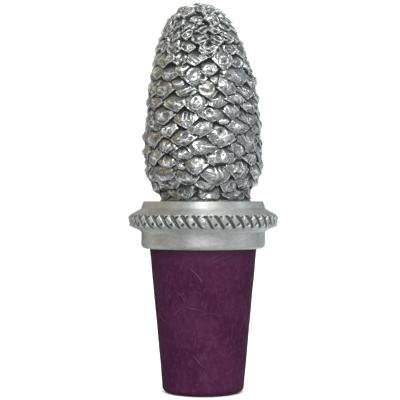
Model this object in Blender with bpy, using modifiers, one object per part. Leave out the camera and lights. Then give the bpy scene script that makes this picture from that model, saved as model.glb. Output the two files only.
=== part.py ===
"""Pine cone bottle stopper.

A cast pewter pine cone stands on a turned metal collar with a roped band.
A steel stud runs up through the collar and joins the cone to a tapered
rubber plug. The origin is the centre of the plug's flat end, +Z up.
"""
import math

import bpy
import numpy as np

MM = 0.001
GAP = 0.3 * MM              # clearance left between pieces that touch

# --- stopper plug
PLUG_END_R = 8.45 * MM      # radius at the small end
PLUG_TOP_R = 11.2 * MM      # radius under the collar
PLUG_EDGE_R = 1.25 * MM     # rounding of the small end's edge
COLLAR_BASE_Z = 30.07 * MM  # where the collar sits on the plug
PLUG_STEPS = 48

# --- collar
COLLAR_TOP_Z = 39.86 * MM
COLLAR_TOP_R = 12.54 * MM   # top edge of the sloped shoulder
SHOULDER_R = 13.07 * MM     # foot of the sloped shoulder
SHOULDER_Z = 38.37 * MM
RIM_R = 12.97 * MM          # plain cylinder below the band
RIM_TOP_Z = 33.4 * MM
RIM_EDGE_R = 0.95 * MM      # rounding of the rim's lower edge
RECESS = 0.1 * MM           # of the collar's underside, over the plug
COLLAR_STEPS = 60

# --- roped band
BAND_R = 15.53 * MM         # crest of the strands
BAND_Z = 35.92 * MM         # mid height
BAND_HALF = 1.3 * MM
BAND_GROOVE = 0.5 * MM      # depth between strands
BAND_STRANDS = 42
BAND_SLANT = 2.45           # degrees of turn per mm of height
BAND_STEPS = 3 * BAND_STRANDS

# --- pine cone
CONE_BASE_Z = COLLAR_TOP_Z + GAP
CONE_TOP_Z = 81.1 * MM
CONE_R = 12.45 * MM         # widest radius, without the scales' tips
CONE_WIDE_Z = 51.0 * MM
CONE_NECK_R = 9.15 * MM
CONE_NECK_Z = 41.0 * MM
CONE_FOOT_R = 9.5 * MM
CONE_LEAN = -1.05 * MM      # the tip stands off the axis
CONE_STEPS = 210            # turned finely, so the scales come out crisp
CONE_RINGS = 120
CONE_FACES = 8200           # and thinned to about this many triangles

SCALE_ANGLE = 137.24        # degrees from one scale to the next
SCALE_AREA = 14.4 * MM * MM # surface that each scale takes low on the cone
SCALE_AREA_TIP = 8.5 * MM * MM
SCALE_HALF_W = 3.15 * MM
SCALE_HALF_H = 2.75 * MM
SCALE_LIFT = 1.45 * MM      # how far a scale's lower edge stands proud
SCALE_SINK = 0.75 * MM      # the crevices lie this far under the body's outline

# --- stud
STUD_R = 3.0 * MM
STUD_ROOT_R = 2.5 * MM
STUD_PITCH = 1.25 * MM
STUD_LOW_Z = 16.3 * MM
STUD_TOP_Z = 52.0 * MM
STUD_THREAD = 12.0 * MM     # threaded length at each end
STUD_STEPS = 16
BORE_R = STUD_R + GAP       # the holes that take the stud


def clear_scene():
    for ob in list(bpy.data.objects):
        bpy.data.objects.remove(ob, do_unlink=True)


def collection(name):
    col = bpy.data.collections.new(name)
    bpy.context.scene.collection.children.link(col)
    return col


def material(name, color, metallic, roughness):
    mat = bpy.data.materials.new(name)
    mat.use_nodes = True
    bsdf = next(n for n in mat.node_tree.nodes if n.type == 'BSDF_PRINCIPLED')
    bsdf.inputs["Base Color"].default_value = (*color, 1.0)
    bsdf.inputs["Metallic"].default_value = metallic
    bsdf.inputs["Roughness"].default_value = roughness
    mat.diffuse_color = (*color, 1.0)
    return mat


def turned(name, col, profile, steps, closed=False):
    """Turn a profile of (radius, height) about Z and keep the result as a mesh."""
    verts = [(r, 0.0, z) for r, z in profile]
    edges = [(i, i + 1) for i in range(len(verts) - 1)]
    if closed:
        edges.append((len(verts) - 1, 0))
    raw = bpy.data.meshes.new(name + "_profile")
    raw.from_pydata(verts, edges, [])
    ob = bpy.data.objects.new(name, raw)
    col.objects.link(ob)
    mod = ob.modifiers.new("turn", 'SCREW')
    mod.axis = 'Z'
    mod.angle = 2.0 * math.pi
    mod.steps = steps
    mod.render_steps = steps
    mod.use_merge_vertices = True
    mod.merge_threshold = 1e-5
    bpy.context.view_layer.update()
    deps = bpy.context.evaluated_depsgraph_get()
    solid = bpy.data.meshes.new_from_object(ob.evaluated_get(deps))
    ob.modifiers.clear()
    ob.data = solid
    solid.name = name
    bpy.data.meshes.remove(raw)
    return ob


def displace(ob, move):
    """Move every vertex by a function of its radius, angle and height."""
    for v in ob.data.vertices:
        x, y, z = v.co
        r, a = math.hypot(x, y), math.atan2(y, x)
        r, a, z, shift = move(r, a, z)
        v.co = (r * math.cos(a) + shift, r * math.sin(a), z)
    ob.data.update()


def smooth(ob, degrees=35.0):
    ob.data.shade_smooth()
    ob.data.set_sharp_from_angle(angle=math.radians(degrees))


def arc(cx, cz, radius, start, end, count):
    """Points of a circular arc, in degrees from +radius towards +height."""
    pts = []
    for i in range(count + 1):
        a = math.radians(start + (end - start) * i / count)
        pts.append((cx + radius * math.cos(a), cz + radius * math.sin(a)))
    return pts


def smoothstep(a, b, x):
    t = min(1.0, max(0.0, (x - a) / (b - a)))
    return t * t * (3.0 - 2.0 * t)


# ---------------------------------------------------------------- the cone

def cone_radius(z):
    """Radius of the cone's body, under the scales' tips."""
    if z >= CONE_WIDE_Z:
        t = min(1.0, (z - CONE_WIDE_Z) / (CONE_TOP_Z - CONE_WIDE_Z))
        return CONE_R * math.sqrt(max(0.0, 1.0 - t ** 2.1))
    t = min(1.0, (CONE_WIDE_Z - z) / (CONE_WIDE_Z - CONE_NECK_Z))
    return CONE_NECK_R + (CONE_R - CONE_NECK_R) * (1.0 - t ** 3.0)


def cone_heights(count):
    """Heights of rings that are evenly spaced along the cone's side."""
    fine = 600
    zs = [CONE_TOP_Z + (CONE_NECK_Z - CONE_TOP_Z) * (i / fine) ** 1.6 for i in range(fine + 1)]
    run = [0.0]
    for a, b in zip(zs, zs[1:]):
        run.append(run[-1] + math.hypot(b - a, cone_radius(b) - cone_radius(a)))
    out, j = [], 0
    for k in range(1, count + 1):
        want = run[-1] * k / count
        while run[j + 1] < want - 1e-12:
            j += 1
        t = (want - run[j]) / (run[j + 1] - run[j])
        out.append(zs[j] + (zs[j + 1] - zs[j]) * t)
    return out


def scale_centres():
    """(angle, height, radius, size) of each scale, spiralling from the tip down."""
    centres, taken, n = [], 0.5, 0
    fine = 4000
    for i in range(fine):
        z0 = CONE_TOP_Z + (CONE_NECK_Z - CONE_TOP_Z) * (i / fine) ** 1.6
        z1 = CONE_TOP_Z + (CONE_NECK_Z - CONE_TOP_Z) * ((i + 1) / fine) ** 1.6
        r0, r1 = cone_radius(z0), cone_radius(z1)
        tip = smoothstep(66.0 * MM, 81.0 * MM, z0)
        area = SCALE_AREA + (SCALE_AREA_TIP - SCALE_AREA) * tip
        taken += math.pi * (r0 + r1) * math.hypot(z0 - z1, r0 - r1) / area
        while taken >= 1.0:
            taken -= 1.0
            size = math.sqrt(area / SCALE_AREA)
            centres.append((math.radians(-SCALE_ANGLE * n), z1, max(r1, 0.5 * MM), size))
            n += 1
    return centres


def scale_relief(a, z, r, centres):
    """Height of the proudest scale over each point, given as arrays."""
    best = np.zeros_like(a)
    for ca, cz, cr, size in centres:
        da = (a - ca + np.pi) % (2.0 * np.pi) - np.pi
        side = np.hypot(cz - z, cr - r) * np.where(z <= cz, 1.0, -1.0)
        u = np.abs(da) * 0.5 * (r + cr) / (SCALE_HALF_W * size)
        v = side / (SCALE_HALF_H * size)
        reach = u ** 1.35 + np.abs(v) ** 1.5
        edge = np.clip((1.0 - reach) / 0.24, 0.0, 1.0) ** 0.6
        plump = 0.30 + 0.55 * (v + 1.0) / 2.0 + 0.22 * (1.0 - np.minimum(u, 1.0)) * (1.0 - v * v)
        best = np.maximum(best, np.where(reach < 1.0, size * SCALE_LIFT * edge * plump, 0.0))
    return best


def step_up(low, high, x):
    t = np.clip((x - low) / (high - low), 0.0, 1.0)
    return t * t * (3.0 - 2.0 * t)


def raise_scales(ob):
    """Push the turned body out into overlapping scales, and lean its tip."""
    mesh = ob.data
    co = np.empty(len(mesh.vertices) * 3, dtype=np.float32)
    mesh.vertices.foreach_get("co", co)
    co = co.reshape(-1, 3).astype(float)
    r, a, z = np.hypot(co[:, 0], co[:, 1]), np.arctan2(co[:, 1], co[:, 0]), co[:, 2].copy()
    side = z > CONE_NECK_Z - 0.05 * MM
    lift = scale_relief(a, z, r, scale_centres()) * step_up(CONE_NECK_Z - 0.2 * MM, CONE_NECK_Z + 2.0 * MM, z)
    lift -= SCALE_SINK * step_up(CONE_NECK_Z, CONE_NECK_Z + 3.0 * MM, z) * step_up(0.0, 4.0 * MM, CONE_TOP_Z - z)
    # lift along the surface's own outward direction
    slope = np.array([(cone_radius(h - 0.05 * MM) - cone_radius(h + 0.05 * MM)) / (0.1 * MM) for h in z])
    slope = np.clip(slope, -0.3, 3.0)
    size = np.sqrt(1.0 + slope ** 2)
    r = np.where(side & (r > 1e-6), np.maximum(r + lift / size, 0.0), r)
    z = np.where(side, z + lift * np.maximum(slope, 0.0) / size, z)
    co[:, 0] = r * np.cos(a) + CONE_LEAN * step_up(61.0 * MM, 80.0 * MM, co[:, 2])
    co[:, 1] = r * np.sin(a)
    co[:, 2] = z
    mesh.vertices.foreach_set("co", co.astype(np.float32).ravel())
    mesh.update()


def build_cone(col, cutters):
    profile = [(0.0, CONE_TOP_Z)]
    profile += [(cone_radius(z), z) for z in cone_heights(CONE_RINGS)]
    profile += [(CONE_NECK_R + 0.1 * MM, CONE_NECK_Z - 0.35 * MM),
                (CONE_FOOT_R, CONE_BASE_Z + 0.2 * MM),
                (CONE_FOOT_R, CONE_BASE_Z),
                (0.0, CONE_BASE_Z)]
    ob = turned("pinecone_finial", col, profile, CONE_STEPS)
    raise_scales(ob)
    thin = ob.modifiers.new("fewer_faces", 'DECIMATE')
    thin.decimate_type = 'COLLAPSE'
    thin.ratio = CONE_FACES / sum(len(f.vertices) - 2 for f in ob.data.polygons)

    drill = [(0.0, STUD_TOP_Z + 1.6 * MM), (BORE_R, STUD_TOP_Z + 0.5 * MM),
             (BORE_R, CONE_BASE_Z - 2.0 * MM), (0.0, CONE_BASE_Z - 2.0 * MM)]
    cutter = turned("cone_drill", cutters, drill, 32)
    cutter.hide_render = True
    cutter.display_type = 'WIRE'
    bore = ob.modifiers.new("bore", 'BOOLEAN')
    bore.operation = 'DIFFERENCE'
    bore.object = cutter
    smooth(ob, 50.0)
    return ob


# -------------------------------------------------------------- the collar

def move_band(r, a, z):
    """Slant the band's rings and sink a groove between each pair of strands."""
    a = a - math.radians(BAND_SLANT) * (z - BAND_Z) / MM
    if r > BAND_R - 1.1 * MM:
        step = round((a + math.radians(BAND_SLANT) * (z - BAND_Z) / MM) / (2.0 * math.pi) * BAND_STEPS) % 3
        if step == 0:
            r -= BAND_GROOVE
    return r, a, z, 0.0


def build_collar(col, cutters):
    edge_z = COLLAR_BASE_Z + RIM_EDGE_R
    profile = [(BORE_R, COLLAR_TOP_Z), (COLLAR_TOP_R, COLLAR_TOP_Z), (SHOULDER_R, SHOULDER_Z)]
    # hollow sweep from the shoulder out to the band
    sweep = 5
    for i in range(1, sweep + 1):
        t = i / sweep
        profile.append((SHOULDER_R + (14.75 * MM - SHOULDER_R) * t,
                        SHOULDER_Z - (SHOULDER_Z - (BAND_Z + BAND_HALF)) * math.sin(t * math.pi / 2.0) ** 0.75))
    profile += [(14.75 * MM, BAND_Z - BAND_HALF), (13.9 * MM, BAND_Z - BAND_HALF - 0.5 * MM),
                (13.1 * MM, RIM_TOP_Z + 0.3 * MM), (RIM_R, RIM_TOP_Z)]
    profile += arc(RIM_R - RIM_EDGE_R, edge_z, RIM_EDGE_R, 0.0, -90.0, 4)
    # the face over the plug lies in a shallow recess, so only the ring round it can meet a bottle's rim
    ring_r = PLUG_TOP_R + 0.15 * MM
    profile += [(ring_r, COLLAR_BASE_Z), (ring_r, COLLAR_BASE_Z + RECESS), (BORE_R, COLLAR_BASE_Z + RECESS)]
    collar = turned("roped_collar", col, profile, COLLAR_STEPS, closed=True)

    crest = []
    for i in range(7):
        t = -1.0 + 2.0 * i / 6.0
        crest.append((BAND_R - 0.75 * MM * abs(t) ** 3.0, BAND_Z - 0.97 * BAND_HALF * t))
    ring = [(14.2 * MM, crest[0][1])] + crest + [(14.2 * MM, crest[-1][1])]
    band = turned("rope_band", cutters, ring, BAND_STEPS, closed=True)
    displace(band, move_band)
    band.hide_render = True
    band.display_type = 'WIRE'

    join = collar.modifiers.new("join_band", 'BOOLEAN')
    join.operation = 'UNION'
    join.object = band
    smooth(collar, 30.0)
    return collar


# ---------------------------------------------------------------- the plug

def build_plug(col):
    top = COLLAR_BASE_Z - GAP
    slope = (PLUG_TOP_R - PLUG_END_R) / COLLAR_BASE_Z
    profile = [(0.0, STUD_LOW_Z - 1.4 * MM), (BORE_R, STUD_LOW_Z - 0.5 * MM), (BORE_R, top)]
    profile += arc(PLUG_TOP_R - 0.3 * MM, top - 0.3 * MM, 0.3 * MM, 90.0, 0.0, 2)
    for i in range(1, 6):
        z = top - 0.3 * MM - (top - 0.3 * MM - PLUG_EDGE_R) * i / 5.0
        profile.append((PLUG_END_R + slope * z, z))
    profile += arc(PLUG_END_R + slope * PLUG_EDGE_R - PLUG_EDGE_R, PLUG_EDGE_R, PLUG_EDGE_R, 0.0, -90.0, 4)[1:]
    profile += [(0.0, 0.0)]
    ob = turned("stopper_plug", col, profile, PLUG_STEPS)
    smooth(ob)
    return ob


# ---------------------------------------------------------------- the stud

def move_thread(r, a, z):
    """A ridge that winds round both ends of the stud."""
    low = STUD_LOW_Z + STUD_THREAD
    high = STUD_TOP_Z - STUD_THREAD
    from_end = min(z - STUD_LOW_Z, STUD_TOP_Z - z)
    if r < STUD_R - 0.05 * MM or from_end < 0.7 * MM or low < z < high:
        return r, a, z, 0.0
    turn = (z / STUD_PITCH - a / (2.0 * math.pi)) % 1.0
    ridge = 1.0 - abs(2.0 * turn - 1.0)
    return STUD_ROOT_R + (STUD_R - STUD_ROOT_R) * ridge, a, z, 0.0


def build_stud(col):
    chamfer = 0.7 * MM
    length = STUD_TOP_Z - STUD_LOW_Z
    profile = [(0.0, STUD_TOP_Z), (STUD_R - chamfer, STUD_TOP_Z)]
    ring = STUD_PITCH / 3.0
    count = int((STUD_THREAD - chamfer) / ring)
    for i in range(count + 1):
        profile.append((STUD_R, STUD_TOP_Z - chamfer - ring * i))
    for i in range(count, -1, -1):
        profile.append((STUD_R, STUD_TOP_Z - length + chamfer + ring * i))
    profile += [(STUD_R - chamfer, STUD_LOW_Z), (0.0, STUD_LOW_Z)]
    ob = turned("threaded_stud", col, profile, STUD_STEPS)
    displace(ob, move_thread)
    smooth(ob, 40.0)
    return ob


def main():
    clear_scene()
    col = collection("pine_cone_bottle_stopper")
    cutters = collection("joined_shapes")

    pewter = material("cast_pewter", (0.50, 0.50, 0.49), 1.0, 0.32)
    brushed = material("brushed_pewter", (0.55, 0.55, 0.54), 1.0, 0.36)
    steel = material("plated_steel", (0.60, 0.60, 0.60), 1.0, 0.30)
    rubber = material("plum_rubber", (0.070, 0.022, 0.048), 0.0, 0.48)

    for ob, mat in ((build_cone(col, cutters), pewter), (build_collar(col, cutters), brushed),
                    (build_stud(col), steel), (build_plug(col), rubber)):
        ob.data.materials.clear()
        ob.data.materials.append(mat)


main()
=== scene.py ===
import math

import bpy
import numpy as np
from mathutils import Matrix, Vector


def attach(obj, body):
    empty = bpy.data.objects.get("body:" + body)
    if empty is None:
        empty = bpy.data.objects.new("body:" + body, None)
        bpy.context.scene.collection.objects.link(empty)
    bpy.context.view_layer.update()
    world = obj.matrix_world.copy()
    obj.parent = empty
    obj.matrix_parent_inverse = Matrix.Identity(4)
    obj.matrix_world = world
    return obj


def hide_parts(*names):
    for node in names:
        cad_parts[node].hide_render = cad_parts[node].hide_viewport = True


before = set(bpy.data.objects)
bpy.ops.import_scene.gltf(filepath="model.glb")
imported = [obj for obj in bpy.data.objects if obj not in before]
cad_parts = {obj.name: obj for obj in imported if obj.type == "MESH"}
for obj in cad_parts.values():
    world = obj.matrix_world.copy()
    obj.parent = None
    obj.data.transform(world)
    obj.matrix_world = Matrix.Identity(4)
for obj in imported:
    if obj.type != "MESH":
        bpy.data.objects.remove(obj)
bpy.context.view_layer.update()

MM = 0.001
RNG = np.random.default_rng(20)

# ------------------------------------------------------------------ the view
PX = 0.21                      # millimetres per pixel of the 400 px frame, at the stopper's axis
DIST = 252.0                   # camera to axis
AXIS_PX, BASE_PX = 203.2, 391.2
CAM = np.array([-(AXIS_PX - 200.0) * PX, -DIST, (BASE_PX - 200.0) * PX])


def make_camera():
    cam = bpy.data.cameras.new("camera")
    cam.sensor_width = 36.0
    cam.lens = 18.0 * DIST / (200.0 * PX)
    cam.clip_start, cam.clip_end = 0.01, 50.0
    ob = bpy.data.objects.new("camera", cam)
    bpy.context.scene.collection.objects.link(ob)
    ob.location = Vector(CAM * MM)
    ob.rotation_euler = (math.pi / 2.0, 0.0, 0.0)
    bpy.context.scene.camera = ob


make_camera()


# ------------------------------------------------------------------ helpers
def step(low, high, x):
    t = np.clip((x - low) / (high - low), 0.0, 1.0)
    return t * t * (3.0 - 2.0 * t)


def noise(p, seed=0):
    """Smooth noise from -1 to 1 at an array of points."""
    i = np.floor(p).astype(np.int64)
    f = p - i
    f = f * f * f * (f * (f * 6.0 - 15.0) + 10.0)
    out = np.zeros(len(p))
    for dx in (0, 1):
        wx = f[:, 0] if dx else 1.0 - f[:, 0]
        for dy in (0, 1):
            wy = f[:, 1] if dy else 1.0 - f[:, 1]
            for dz in (0, 1):
                wz = f[:, 2] if dz else 1.0 - f[:, 2]
                h = (((i[:, 0] + dx) * 73856093) ^ ((i[:, 1] + dy) * 19349663)
                     ^ ((i[:, 2] + dz) * 83492791) ^ (seed * 40503 + 977)) & 0xFFFFFFFF
                h = ((h ^ (h >> 16)) * 0x45D9F3B) & 0xFFFFFFFF
                h = ((h ^ (h >> 16)) * 0x45D9F3B) & 0xFFFFFFFF
                h = h ^ (h >> 16)
                out += wx * wy * wz * ((h & 0xFFFF) / 32767.5 - 1.0)
    return out


def fbm(p, octaves, seed=0):
    out, amp, total = np.zeros(len(p)), 1.0, 0.0
    for k in range(octaves):
        out += amp * noise(p * 2.0 ** k, seed + 31 * k)
        total += amp
        amp *= 0.5
    return out / total


def ridged(p, octaves, seed=0):
    """Noise with sharp crests, 0 to 1."""
    out, amp, total = np.zeros(len(p)), 1.0, 0.0
    for k in range(octaves):
        out += amp * (1.0 - np.abs(noise(p * 2.0 ** k, seed + 57 * k))) ** 2
        total += amp
        amp *= 0.5
    return out / total


def grid_mesh(name, points, closed_top=None, closed_bottom=None, colors=None):
    """A closed round mesh from points[ring, column] in millimetres; the rings run down the outer side.

    closed_top and closed_bottom are single points that close the first and last ring. With neither, the
    last ring joins the first.
    """
    rings, cols, _ = points.shape
    co = [points.reshape(-1, 3)]
    n = rings * cols
    j = np.arange(cols)
    jn = (j + 1) % cols
    quads = []
    last = rings if closed_top is None and closed_bottom is None else rings - 1
    i = np.arange(last)[:, None]
    nxt = (i + 1) % rings
    quads = np.stack([i * cols + j, nxt * cols + j, nxt * cols + jn, i * cols + jn], axis=-1).reshape(-1, 4)
    tris = []
    if closed_top is not None:
        co.append(np.array([closed_top]))
        tris.append(np.stack([np.full(cols, n), j, jn], axis=-1))
        n += 1
    if closed_bottom is not None:
        base = (rings - 1) * cols
        co.append(np.array([closed_bottom]))
        tris.append(np.stack([np.full(cols, n), base + jn, base + j], axis=-1))
    co = np.concatenate(co) * MM
    tris = np.concatenate(tris) if tris else np.zeros((0, 3), int)
    loops = np.concatenate([quads.ravel(), tris.ravel()])
    sizes = np.concatenate([np.full(len(quads), 4), np.full(len(tris), 3)])
    starts = np.concatenate([[0], np.cumsum(sizes)[:-1]])
    mesh = bpy.data.meshes.new(name)
    mesh.vertices.add(len(co))
    mesh.vertices.foreach_set("co", co.astype(np.float32).ravel())
    mesh.loops.add(len(loops))
    mesh.loops.foreach_set("vertex_index", loops.astype(np.int32))
    mesh.polygons.add(len(sizes))
    mesh.polygons.foreach_set("loop_start", starts.astype(np.int32))
    mesh.update(calc_edges=True)
    mesh.validate()
    mesh.shade_smooth()
    if colors is not None:
        att = mesh.color_attributes.new("relief", 'FLOAT_COLOR', 'POINT')
        full = np.zeros((len(co), 4), np.float32)
        full[:, 3] = 1.0
        flat = colors.reshape(-1, colors.shape[-1])
        full[:len(flat), :flat.shape[1]] = flat
        if closed_top is not None:
            full[len(flat), :flat.shape[1]] = flat[:cols].mean(0)
        if closed_bottom is not None:
            full[-1, :flat.shape[1]] = flat[-cols:].mean(0)
        att.data.foreach_set("color", full.ravel())
    ob = bpy.data.objects.new(name, mesh)
    bpy.context.scene.collection.objects.link(ob)
    return ob


def triangles(mesh):
    return sum(len(p.vertices) - 2 for p in mesh.polygons)


def thin_to(ob, faces):
    """Merge the flattest faces until about so many triangles are left."""
    have = triangles(ob.data)
    if have <= faces:
        return
    mod = ob.modifiers.new("thin", 'DECIMATE')
    mod.decimate_type = 'COLLAPSE'
    mod.ratio = faces / have
    deps = bpy.context.evaluated_depsgraph_get()
    made = bpy.data.meshes.new_from_object(ob.evaluated_get(deps), preserve_all_data_layers=True, depsgraph=deps)
    ob.modifiers.clear()
    old = ob.data
    ob.data = made
    made.name = ob.name
    bpy.data.meshes.remove(old)
    made.shade_smooth()


# ------------------------------------------------------------------ the pine cone: body
# Outline of the cone over its scales' tips: height, radius, sideways offset.
OUTLINE = [(40.16, 9.40, 0.42), (40.60, 9.28, 0.40), (41.3, 9.35, 0.30), (42.5, 10.37, -0.05), (43.5, 11.05, -0.15),
           (45.4, 12.20, -0.05), (48.6, 12.68, 0.0), (53.4, 12.72, -0.12), (58.8, 12.25, -0.1), (61.8, 11.85, -0.1),
           (66.2, 11.30, -0.22), (68.5, 10.72, -0.42), (71.7, 9.68, -0.68), (73.8, 8.82, -0.78),
           (76.9, 7.20, -0.93), (78.8, 5.70, -0.98), (80.2, 3.95, -1.05), (81.0, 2.40, -1.08), (81.45, 0.0, -1.1)]
RELIEF = 0.85                  # the tips stand about this far over the body


def outline_at(z):
    zs = [p[0] for p in OUTLINE]
    return (np.interp(z, zs, [p[1] for p in OUTLINE]), np.interp(z, zs, [p[2] for p in OUTLINE]))


def body_curve(count):
    """Rings of the cone's body from tip to foot: radius, height, offset, and the outward direction."""
    pts = np.array([(r, z, x) for z, r, x in OUTLINE[::-1]])
    # smooth the outline, then take it inwards by the relief
    k = np.concatenate([[0], np.cumsum(np.hypot(np.diff(pts[:, 0]), np.diff(pts[:, 1])))])
    s = np.linspace(0, k[-1], 900)
    r, z, x = (np.interp(s, k, pts[:, c]) for c in range(3))
    w = np.exp(-0.5 * (np.arange(-30, 31) / 10.0) ** 2)
    w /= w.sum()
    def soft(v, sign):
        head = sign * v[30:0:-1] if sign < 0 else 2 * v[0] - v[30:0:-1] if sign == 0 else v[30:0:-1]
        tail = 2 * v[-1] - v[-2:-32:-1]
        return np.convolve(np.concatenate([head, v, tail]), w, mode="valid")
    r, z, x = soft(r, -1), soft(z, 1), soft(x, 1)
    r[0] = 0.0
    tr, tz = np.gradient(r), np.gradient(z)
    size = np.hypot(tr, tz)
    nr, nz = -tz / size, tr / size
    sink = RELIEF * (0.75 + 0.25 * step(40.9, 43.2, z)) + 0.40 * step(45.0, 48.0, z) * step(73.0, 69.0, z)
    sink = sink + 0.15 * step(41.0, 43.0, z) * step(77.0, 73.0, z) - 0.12 * step(75.0, 78.5, z)
    r2, z2 = r - nr * sink, z - nz * sink
    r2 = np.maximum(r2, 0.0)
    keep = np.concatenate([[True], (r2[1:] > 0.02)])
    r2, z2, x, nr, nz = r2[keep], z2[keep], x[keep], nr[keep], nz[keep]
    r2[0] = 0.0
    k = np.concatenate([[0], np.cumsum(np.hypot(np.diff(r2), np.diff(z2)))])
    s = np.linspace(0, k[-1], count + 1)[1:]
    r, z, x, nr, nz = (np.interp(s, k, v) for v in (r2, z2, x, nr, nz))
    size = np.hypot(nr, nz)
    return r, z, x, nr / size, nz / size, s


def on_body(px, py, curve):
    """Point of the cone's body (ring place, angle) that the photograph's view has at a pixel."""
    r, z, x, nr, nz, s = curve
    ray = np.array([px - 200.0, 1200.0, -(py - 200.0)])
    t = np.linspace((DIST - 15.0) / 1200.0, DIST / 1200.0, 600)
    p = CAM + t[:, None] * ray
    rr = np.interp(-p[:, 2], -z, r) + 0.5 * RELIEF
    xx = np.interp(-p[:, 2], -z, x)
    gap = np.hypot(p[:, 0] - xx, p[:, 1]) - rr
    hit = np.nonzero(gap <= 0)[0]
    k = hit[0] if len(hit) else int(np.argmin(gap))
    return float(np.interp(-p[k, 2], -z, s)), math.atan2(p[k, 1], p[k, 0] - xx[k])


# ------------------------------------------------------------------ the pine cone: scales
# Scales that face the camera: centre in the view, width and height in pixels, relief, direction of its lines.
FRONT = [
    # tip
    (190.7, 7.5, 17, 8, "plain", 20), (202.2, 5.0, 9, 7, "plain", 60), (210.5, 8.5, 12, 8, "pleat", -30),
    (186.9, 13.8, 16, 9, "crumple", 15), (202.2, 12.0, 12, 9, "plain", 60), (219.0, 13.0, 15, 9, "pleat", -35),
    (211.8, 20.3, 18, 12, "dome", 0), (197.0, 20.5, 17, 9, "pleat", 20), (177.0, 15.5, 12, 9, "plain", 0),
    (176.5, 25.0, 15, 11, "crumple", 0), (226.0, 21.0, 13, 10, "pleat", -35), (166.5, 26.0, 10, 9, "plain", 0),
    (186.5, 33.5, 14, 13, "pleat", 38), (200.5, 30.0, 19, 9, "edge", 0), (233.0, 29.5, 13, 11, "crumple", -30),
    (214.5, 31.0, 15, 9, "edge", -25), (172.5, 37.0, 14, 12, "crumple", 0),
    (161.5, 36.5, 9, 12, "plain", 0), (227.0, 38.0, 14, 12, "pleat", -32), (240.0, 41.0, 10, 12, "crumple", 0),
    # upper rows
    (200.0, 40.0, 20, 12, "edge", 10), (216.6, 41.3, 15, 11, "edge", -20),
    (187.8, 47.5, 16, 11, "plain", 0), (209.0, 50.0, 21, 14, "edge", 25), (173.5, 49.0, 14, 13, "crumple", 30),
    (159.0, 47.5, 11, 12, "plain", 0), (230.0, 49.5, 15, 11, "pleat", -30),
    (196.2, 58.8, 24, 13, "plain", 35), (181.0, 60.5, 15, 13, "crumple", 60), (166.5, 60.0, 16, 14, "dome", 0),
    (241.5, 55.0, 12, 14, "crumple", -30), (223.0, 59.8, 19, 19, "plain", -50), (209.0, 69.3, 16, 15, "plain", 0),
    (154.5, 60.0, 9, 12, "plain", 0), (235.5, 62.5, 14, 12, "crumple", -40), (182.5, 70.0, 15, 11, "plain", 0),
    (170.0, 73.5, 15, 14, "dome", 0), (247.5, 68.5, 10, 13, "plain", 0), (157.5, 74.0, 14, 13, "crumple", 0),
    (194.5, 77.0, 24, 19, "plain", -30), (235.5, 75.7, 25, 19, "plain", -30), (176.5, 83.5, 15, 12, "dome", 0),
    (215.5, 80.5, 10, 10, "dome", 0), (249.5, 82.0, 11, 13, "pleat", -40),
    # middle rows
    (208.0, 88.5, 20, 18, "plain", 0), (226.5, 87.5, 18, 19, "plain", -55), (163.0, 90.0, 18, 16, "plain", 0),
    (186.5, 91.0, 20, 14, "fold", 40), (245.0, 92.0, 18, 14, "pleat", -50), (151.5, 85.5, 9, 12, "plain", 0),
    (175.2, 103.6, 22, 15, "plain", -45), (195.6, 103.6, 20, 18, "plain", 0), (216.5, 101.0, 22, 13, "plain", 10),
    (235.5, 98.5, 20, 15, "pleat", -50), (155.5, 102.0, 15, 15, "crumple", 0), (249.0, 107.0, 15, 15, "plain", 0),
    (212.0, 113.6, 28, 15, "plain", 0), (232.0, 110.5, 18, 15, "plain", -55), (185.8, 118.3, 24, 17, "plain", -80),
    (163.5, 115.2, 20, 16, "plain", 0), (149.5, 117.0, 11, 15, "plain", 0), (246.5, 119.0, 18, 15, "pleat", -55),
    (224.5, 120.5, 16, 10, "dome", 0), (200.0, 129.2, 25, 15, "plain", 45), (237.0, 127.5, 21, 17, "plain", 0),
    (169.5, 129.5, 15, 15, "fold", 60), (152.5, 137.5, 20, 18, "crumple", 0), (222.0, 136.0, 27, 19, "plain", 0),
    (254.5, 129.0, 10, 13, "plain", 0), (183.7, 138.0, 26, 14, "plain", 0), (247.0, 140.5, 19, 20, "plain", -45),
    (168.8, 147.0, 21, 13, "fold", 60), (203.0, 148.3, 30, 16, "plain", 20), (237.8, 150.2, 20, 16, "plain", -60),
    (182.6, 154.4, 20, 13, "plain", 50), (155.5, 156.0, 15, 15, "crumple", -40), (221.2, 157.8, 28, 17, "plain", -30),
    (250.0, 157.0, 16, 14, "pleat", -80),
    # lower rows
    (194.8, 163.4, 22, 16, "dome", 0), (168.3, 161.4, 20, 11, "plain", 0), (237.0, 168.2, 23, 16, "fold", 30),
    (148.5, 168.0, 12, 13, "crumple", 0), (215.5, 172.2, 30, 18, "plain", 60), (187.2, 174.6, 22, 15, "plain", 0),
    (255.0, 170.0, 12, 13, "plain", 0), (162.0, 174.2, 24, 17, "plain", 20), (244.0, 179.8, 18, 18, "fold", 70),
    (206.0, 181.6, 22, 13, "plain", 0), (229.0, 182.8, 18, 13, "plain", 0), (171.0, 180.6, 19, 13, "plain", 0),
    (156.5, 186.5, 14, 12, "plain", 0), (182.0, 190.4, 25, 17, "plain", 0), (209.0, 192.4, 22, 15, "plain", 0),
    (248.0, 190.0, 14, 12, "plain", 0), (164.5, 193.5, 13, 11, "plain", 0), (234.0, 193.0, 25, 15, "plain", 0),
    
]
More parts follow.
